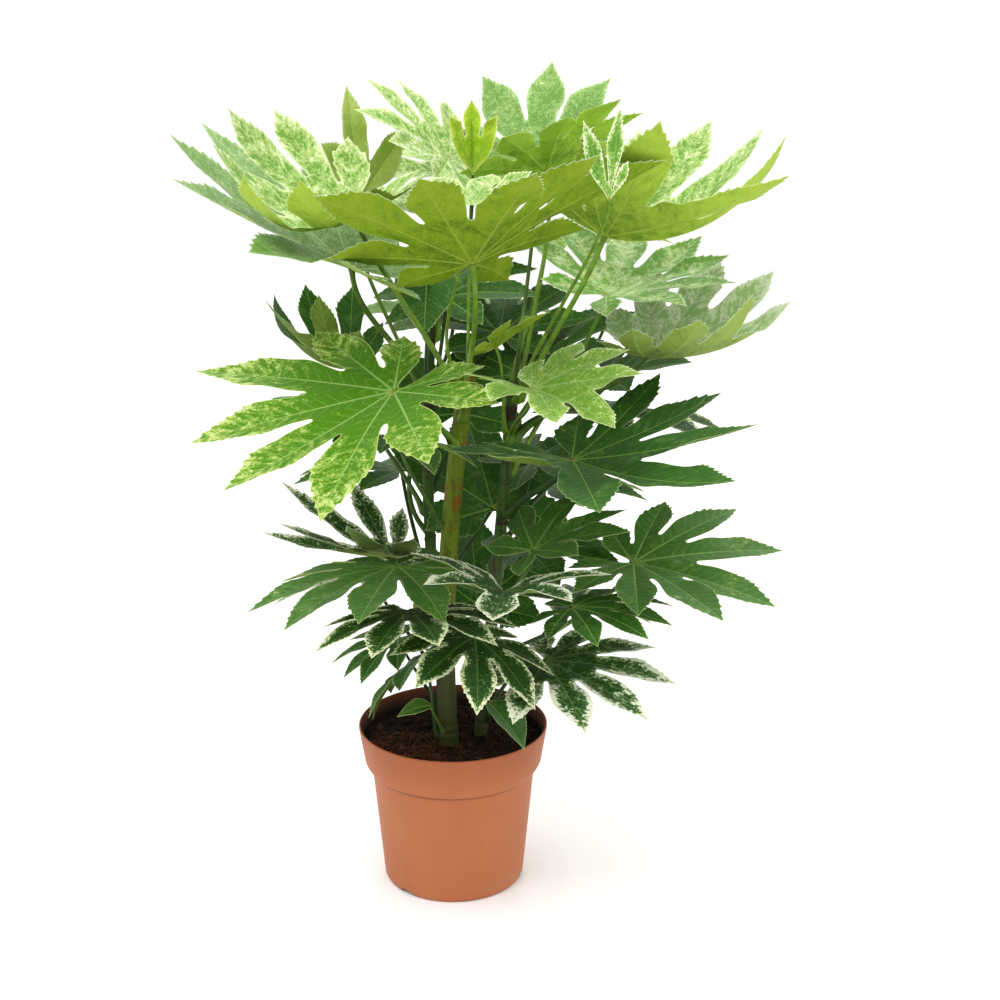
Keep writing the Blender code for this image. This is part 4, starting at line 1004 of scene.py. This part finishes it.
def make_pot():
    under = FLOOR - FLOOR_THICKNESS
    skirt = FOOT_RADIUS - FOOT_RING
    outside = [(skirt, 0), (FOOT_RADIUS - 0.003, 0), (FOOT_RADIUS, 0.004), (BODY_RADIUS, BODY_TOP),
               (BAND_RADIUS - 0.0045, BAND_FOOT - 0.008), (BAND_RADIUS, BAND_FOOT),
               (RIM_RADIUS, POT_HEIGHT - LIP), (RIM_RADIUS - LIP, POT_HEIGHT)]
    inner = [(RIM_RADIUS - WALL, POT_HEIGHT - LIP), (BAND_RADIUS - WALL, BAND_FOOT),
             (BODY_RADIUS - WALL, BODY_TOP), (FOOT_RADIUS - WALL, FLOOR)]
    profile = [(0, under), (skirt, under)] + outside + inner + [(0, FLOOR)]
    points, faces = turned(rounded(profile, EDGE_ROUNDING), POT_SIDES)
    pot = add_piece("pot_fine", points, faces, [pot_material()], "pot")
    for i in range(NOTCH_COUNT):
        way = np.array([*polar(1, NOTCH_TURN + i * 360 / NOTCH_COUNT), 0])
        start, end = way * (FOOT_RADIUS - NOTCH_DEPTH), way * (FOOT_RADIUS + NOTCH_DEPTH)
        cut(pot, f"notch_{i}", *rod(start, end, NOTCH_WIDTH / 2, NOTCH_HEIGHT))
    for i in range(DRAIN_COUNT):
        place = np.array([*polar(DRAIN_RING, i * 360 / DRAIN_COUNT), FLOOR])
        start, end = place - (0, 0, DRAIN_DEPTH), place + (0, 0, DRAIN_DEPTH)
        cut(pot, f"drain_{i}", *rod(start, end, DRAIN_RADIUS, DRAIN_RADIUS))
    pot.data.shade_smooth()
    pot.data.set_sharp_from_angle(angle=math.radians(45))


def inside_wall(g, places):
    """1 on the inner face of the band above the soil and 0 elsewhere."""
    x, y, height = g.split(places)
    across, along = g.math("SUBTRACT", x, POT_AXIS[0]), g.math("SUBTRACT", y, POT_AXIS[1])
    square = g.math("ADD", g.math("MULTIPLY", across, across), g.math("MULTIPLY", along, along))
    outer = g.ramp(height, BAND_FOOT, POT_HEIGHT - LIP, BAND_RADIUS, RIM_RADIUS, "LINEAR")
    inner = g.ramp(g.math("SUBTRACT", outer, g.math("SQRT", square)), 0.4 * WALL, 0.8 * WALL)
    return g.math("MULTIPLY", inner, g.ramp(height, SOIL_EDGE - 0.012, SOIL_EDGE - 0.008))


CLAY = (0.385, 0.110, 0.034)
CLAY_LIGHT = (0.425, 0.130, 0.043)
# painted shade: tone of the band near the rim, for the shade the leaves cast on it
BAND_SHADE = (0.240, 0.050, 0.009)
# painted shadow: tone of the dark line in the crease below the band
CREASE_SHADOW = (0.120, 0.028, 0.010)
DUST = (0.50, 0.27, 0.16)
SOILED = (0.030, 0.014, 0.009)


def pot_material():
    g = Graph("terracotta_plastic", 0.58, 0.4)
    places = g.own_place()
    height = g.split(places)[2]
    cloud, grain = g.noise(places, 9, 3), g.noise(places, 900)
    streak = g.noise(places, 60, 3, stretch=(1.0, 1.0, 0.12))
    colour = g.mix(g.ramp(g.total((cloud, 0.6), (streak, 0.3)), -0.8, 0.8), CLAY, CLAY_LIGHT)
    # painted shade: darker from the band's foot up to the rim, where the leaves above shade the pot
    colour = g.mix(g.ramp(height, 0.150, 0.205, 0.0, 0.45), colour, BAND_SHADE)
    # painted shadow line along the crease below the band
    crease = g.math("ABSOLUTE", g.math("SUBTRACT", height, BODY_TOP))
    colour = g.mix(g.ramp(crease, 0.0008, 0.0035, 0.55, 0.0), colour, CREASE_SHADOW)
    dusty = g.math("MULTIPLY", g.ramp(height, 0.0, 0.035, 0.30, 0.0), g.ramp(cloud, -0.2, 0.8))
    colour = g.mix(dusty, colour, DUST)
    splashed = g.ramp(g.total((height, 60.0), (cloud, 0.25)), 11.4, 12.9, 1.0, 0.25)
    g.colour(g.mix(g.math("MULTIPLY", inside_wall(g, places), splashed), colour, SOILED))
    g.bump(g.total((grain, 0.6), (g.noise(places, 160), 0.5)), 0.10, 0.0005)
    return g.material


# the soil's fine unevenness: height, how close it lies and where its noise starts
CRUMBLE = ((0.0019, 55, (0, 0, 0)), (0.0016, 150, (5, 3, 1)), (0.0009, 420, (1, 7, 2)))
SOIL_SIDES = 220
SOIL_RINGS = 66
SOIL_ROOM = 0.0006
SOIL_STREWN = 0.108
HEAP_RADIUS = 0.040
FIBRE_STEPS = 8
FIBRE_REACH = 0.112
FIBRE_SIDES = 5
PEAT = (0.0055, 0.0026, 0.0018)
PEAT_LIGHT = (0.027, 0.0115, 0.0065)
COIR = (0.100, 0.036, 0.016)


def soil_height(x, y, crumbled=1.0):
    """Height of the soil: a low mound with waves that fade out at the pot's wall, and a fine unevenness."""
    radius, angle = math.hypot(x, y), math.atan2(y, x)
    share = radius / RIM_RADIUS
    waves = math.sin(3 * angle + 40 * radius) + math.sin(5 * angle - 70 * radius)
    mound = SOIL_MOUND * (1 - share ** 4) + SOIL_BUMPS * waves * share * (1 - share ** 3)
    place = Vector((x, y, 0.0))
    rough = sum(high * noise.noise(place * close + Vector(start)) for high, close, start in CRUMBLE)
    return SOIL_EDGE + mound + rough * crumbled


def soil_radius(height):
    """Inner radius of the pot at a height near the soil's top."""
    share = (height - BAND_FOOT) / (POT_HEIGHT - LIP - BAND_FOOT)
    return BAND_RADIUS - WALL + (RIM_RADIUS - BAND_RADIUS) * share


def make_soil():
    edge = soil_radius(SOIL_EDGE) - 0.0002
    points = [(0, 0, soil_height(0, 0, 0))]
    for ring in range(1, SOIL_RINGS + 1):
        share = ring / SOIL_RINGS
        fade = 1 - smooth_step((share - 0.93) / 0.07)
        points += [(x, y, soil_height(x, y, fade)) for x, y, _ in circle(edge * share, 0, SOIL_SIDES)]
    below = ((edge, SOIL_EDGE - 0.004), (BAND_RADIUS - WALL, BAND_FOOT + 0.003),
             (BODY_RADIUS - WALL, BODY_TOP - 0.001), (FOOT_RADIUS - WALL, SOIL_FOOT))
    for radius, height in below:
        points += circle(radius - SOIL_ROOM, height, SOIL_SIDES)
    points.append((0, 0, SOIL_FOOT))
    from_above = [face[:1] + face[:0:-1] for face in skin(SOIL_RINGS + len(below), SOIL_SIDES)]
    add_piece("soil_fine", points, from_above, [soil_material()], "soil")


def soil_material():
    g = Graph("peat", 0.95, 0.15)
    places = g.own_place()
    clod, crumb, grain = g.noise(places, 45, 4), g.noise(places, 190, 4), g.noise(places, 700, 3)
    level = g.total((clod, 0.35), (crumb, 0.45), (grain, 0.35))
    colour = g.mix(g.ramp(level, -0.7, 0.3), PEAT, PEAT_LIGHT)
    g.colour(g.mix(g.ramp(level, 0.45, 1.0), colour, COIR))
    g.bump(g.total((crumb, 0.6), (grain, 0.5)), 0.8, 0.002)
    return g.material


def fibre_material(name, tone):
    g = Graph(name, 0.8, 0.2)
    shade = g.noise(g.own_place(), 140)
    g.colour(g.mix(g.ramp(shade, -0.6, 0.6), dimmed(tone, 0.45), tone))
    return g.material


def soil_place(rng, heap=None):
    """A random place on the soil, anywhere or about the middle of a heap."""
    radius = (HEAP_RADIUS if heap else SOIL_STREWN) * math.sqrt(rng.random())
    angle = rng.random() * 2 * math.pi
    middle = heap or (0, 0)
    return middle[0] + radius * math.cos(angle), middle[1] + radius * math.sin(angle)


def make_fibres(name, count, length, thick, tone, rng, heap=None):
    """Thin bent fibres that lie on the soil and stand a little out of it."""
    points, faces = [], []
    for _ in range(count):
        x, y = soil_place(rng, heap)
        heading, bend = rng.random() * 2 * math.pi, (rng.random() - 0.5) * 5
        step = length * (0.4 + rng.random()) / FIBRE_STEPS
        lift = 0.006 * rng.random() ** 2 + 0.0006
        path, radii = [], []
        for t in np.linspace(0, 1, FIBRE_STEPS + 1):
            x += math.cos(heading + bend * t) * step
            y += math.sin(heading + bend * t) * step
            pull = min(1.0, FIBRE_REACH / math.hypot(x, y))
            x, y = x * pull, y * pull
            path.append((x, y, soil_height(x, y) + lift * math.sin(math.pi * t) + 0.0004))
            radii.append(thick * (0.35 + 0.65 * math.sin(math.pi * (0.15 + 0.7 * t))))
        made, around = tube(np.array(path), radii, FIBRE_SIDES)
        faces += counted_on(around, len(points))
        points += list(made)
    add_piece(name, points, faces, [fibre_material(name, tone)])


def make_crumbs(name, count, sizes, tone, rng):
    """Small lumps of peat and bark strewn over the soil."""
    bm = bmesh.new()
    bmesh.ops.create_icosphere(bm, subdivisions=2, radius=1.0)
    ball = np.array([tuple(v.co) for v in bm.verts])
    around = [tuple(v.index for v in face.verts) for face in bm.faces]
    bm.free()
    points, faces = [], []
    for _ in range(count):
        x, y = soil_place(rng)
        size = sizes[0] + (sizes[1] - sizes[0]) * rng.random() ** 2
        shape = np.array([size * (0.6 + 0.9 * rng.random()) for _ in range(3)]) * (1, 1, 0.7)
        shift = Vector((rng.random() * 50, 0, 0))
        rough = np.array([1 + 0.55 * noise.noise(Vector(place) * 1.6 + shift) for place in ball])
        turn = np.array(Matrix.Rotation(rng.random() * 2 * math.pi, 3, "Z"))
        lump = (ball * rough[:, None] * shape) @ turn.T
        faces += counted_on(around, len(points))
        points += list(lump + (x, y, soil_height(x, y) + 0.25 * shape[2]))
    add_piece(name, points, faces, [fibre_material(name, tone)])


SCAR_ROOM = 0.014
LOWEST_SCAR = 0.205
RING_WIDTH = 0.0022
GROOVE_WIDTH = 0.0016
GROOVE_ABOVE = 0.005
BUD = 0.016
STEM_SIDES = 28

# green, bark and brown of each stem; the dark bark is partly painted shade on the lower stem
STEM_TONES = {
    1: ((0.145, 0.205, 0.004), (0.034, 0.036, 0.008), (0.210, 0.075, 0.004)),
    2: ((0.045, 0.105, 0.012), (0.055, 0.065, 0.018), (0.030, 0.018, 0.008)),
    3: ((0.040, 0.100, 0.012), (0.050, 0.060, 0.018), (0.030, 0.018, 0.008)),
}


def make_stem(number):
    """A round stem with a ring at each leaf that left it and a closed bud at its top."""
    top = STEMS[number]["route"][-1][2]
    scars = sorted(leaf.foot for leaf in LEAVES if leaf.stem == number)
    scars += list(np.arange(LOWEST_SCAR, min(scars), SCAR_ROOM))
    path, radii = [], []
    for height in np.append(np.arange(STEM_FOOT + 0.02, top, RING_WIDTH), top):
        centre, radius = stem_at(number, height)
        swell = sum(math.exp(-((height - scar) / RING_WIDTH) ** 2) for scar in scars)
        groove = sum(math.exp(-((height - scar - GROOVE_ABOVE) / GROOVE_WIDTH) ** 2) for scar in scars)
        path.append(centre)
        radii.append(radius * (1 + 0.085 * min(swell, 1) - 0.05 * min(groove, 1)))
    tip, radius = stem_at(number, top)
    for share in (0.3, 0.55, 0.75, 0.9, 1.0):
        path.append(tip + (0, 0, BUD * share))
        radii.append(radius * math.sqrt(max(1 - share ** 2, 0.004)))
    points, faces = tube(np.array(path), radii, STEM_SIDES)
    name = f"stem_{number}"
    piece = add_piece(f"{name}_fine", points, faces, [stem_material(number)], name)
    set_attribute(piece.data, "flat", points)


def stem_material(number):
    """Green with brown patches, barked below and streaked all along; the dark bark below is partly painted
    shade.
    """
    g = Graph(f"stem_{number}_bark", 0.55, 0.25)
    places = g.attribute("flat")
    height = g.split(places)[2]
    patch, streak = g.noise(places, 30, 3), g.noise(places, 190, 3, stretch=(1.0, 1.0, 0.15))
    ring = g.noise(g.join(0.0, 0.0, height), 160)
    spot = g.noise(places, 260, 3, 0.6)
    green, bark_and_shade, brown = STEM_TONES[number]
    colour = g.mix(g.ramp(g.total((streak, 0.8), (spot, 0.5)), -0.2, 0.8), green, dimmed(green, 0.35))
    colour = g.mix(g.ramp(g.total((patch, 0.9), (ring, 0.5), (streak, 0.3)), 0.15, 0.60), colour, brown)
    # real bark and painted shade: darker towards the stem's foot
    colour = g.mix(g.ramp(g.total((height, -1.0), (patch, 0.06)), -0.46, -0.30, 0.0, 0.9), colour, bark_and_shade)
    g.colour(colour)
    g.bump(g.total((streak, 0.6), (ring, 0.4)), 0.35, 0.001)
    return g.material


CAMERA_PLACE = Vector((0.0598, -2.1065, 1.1608))
CAMERA_DOWN = 17.29
LENS = 64.8
SENSOR = 36


def make_camera():
    bpy.context.scene.view_settings.view_transform = "Standard"
    data = bpy.data.cameras.new("camera")
    data.sensor_width = SENSOR
    data.lens = LENS
    camera = link("camera", data)
    camera.location = Vector(POT_AXIS) + CAMERA_PLACE
    camera.rotation_euler = (math.radians(90 - CAMERA_DOWN), 0, 0)
    bpy.context.scene.camera = camera


def soft_light(name, place, aim, size, power):
    data = bpy.data.lights.new(name, "AREA")
    data.shape = "DISK"
    data.size = size
    data.energy = power
    light = link(name, data)
    light.location = place
    light.rotation_euler = (Vector(aim) - Vector(place)).to_track_quat("-Z", "Y").to_euler()


FLOOR_HALF = 300


def make_studio():
    mesh = bpy.data.meshes.new("floor")
    corners = [(x * FLOOR_HALF, y * FLOOR_HALF, 0) for x, y in ((-1, -1), (1, -1), (1, 1), (-1, 1))]
    mesh.from_pydata(corners, [], [(0, 1, 2, 3)])
    floor = link("floor", mesh)
    g = Graph("pale_floor", 0.9, 0.1)
    g.colour((0.96, 0.96, 0.96))
    mesh.materials.append(g.material)
    world = bpy.data.worlds.new("studio")
    world.use_nodes = True
    back = world.node_tree.nodes["Background"]
    back.inputs["Color"].default_value = (1, 1, 1, 1)
    back.inputs["Strength"].default_value = 1.05
    bpy.context.scene.world = world
    soft_light("key", (-0.9, -1.5, 3.2), (0, 0, 0.7), 1.4, 55)
    soft_light("fill", (2.2, -2.0, 1.6), (0, 0, 0.5), 1.8, 12)
    soft_light("back", (0.4, 2.2, 2.9), (0, 0, 0.7), 1.8, 45)


def main():
    rng = random.Random(5)
    make_camera()
    make_studio()
    make_pot()
    make_soil()
    make_fibres("coir_long", 170, 0.026, 0.00020, (0.115, 0.042, 0.018), rng)
    make_fibres("coir_short", 260, 0.011, 0.00017, (0.085, 0.030, 0.013), rng)
    make_fibres("roots_pale", 14, 0.022, 0.00022, (0.30, 0.21, 0.12), rng)
    make_fibres("coir_left", 150, 0.022, 0.00022, (0.260, 0.078, 0.030), rng, heap=(-0.058, -0.040))
    make_fibres("coir_front", 110, 0.024, 0.00022, (0.230, 0.072, 0.028), rng, heap=(-0.020, -0.066))
    make_crumbs("peat_crumbs", 300, (0.0012, 0.0042), (0.020, 0.010, 0.006), rng)
    make_crumbs("bark_crumbs", 70, (0.0015, 0.0048), (0.060, 0.024, 0.012), rng)
    for number in STEMS:
        make_stem(number)
    counts = [make_leaf(leaf, number) for number, leaf in enumerate(LEAVES)]
    print("leaf faces", sum(counts), max(counts))


main()
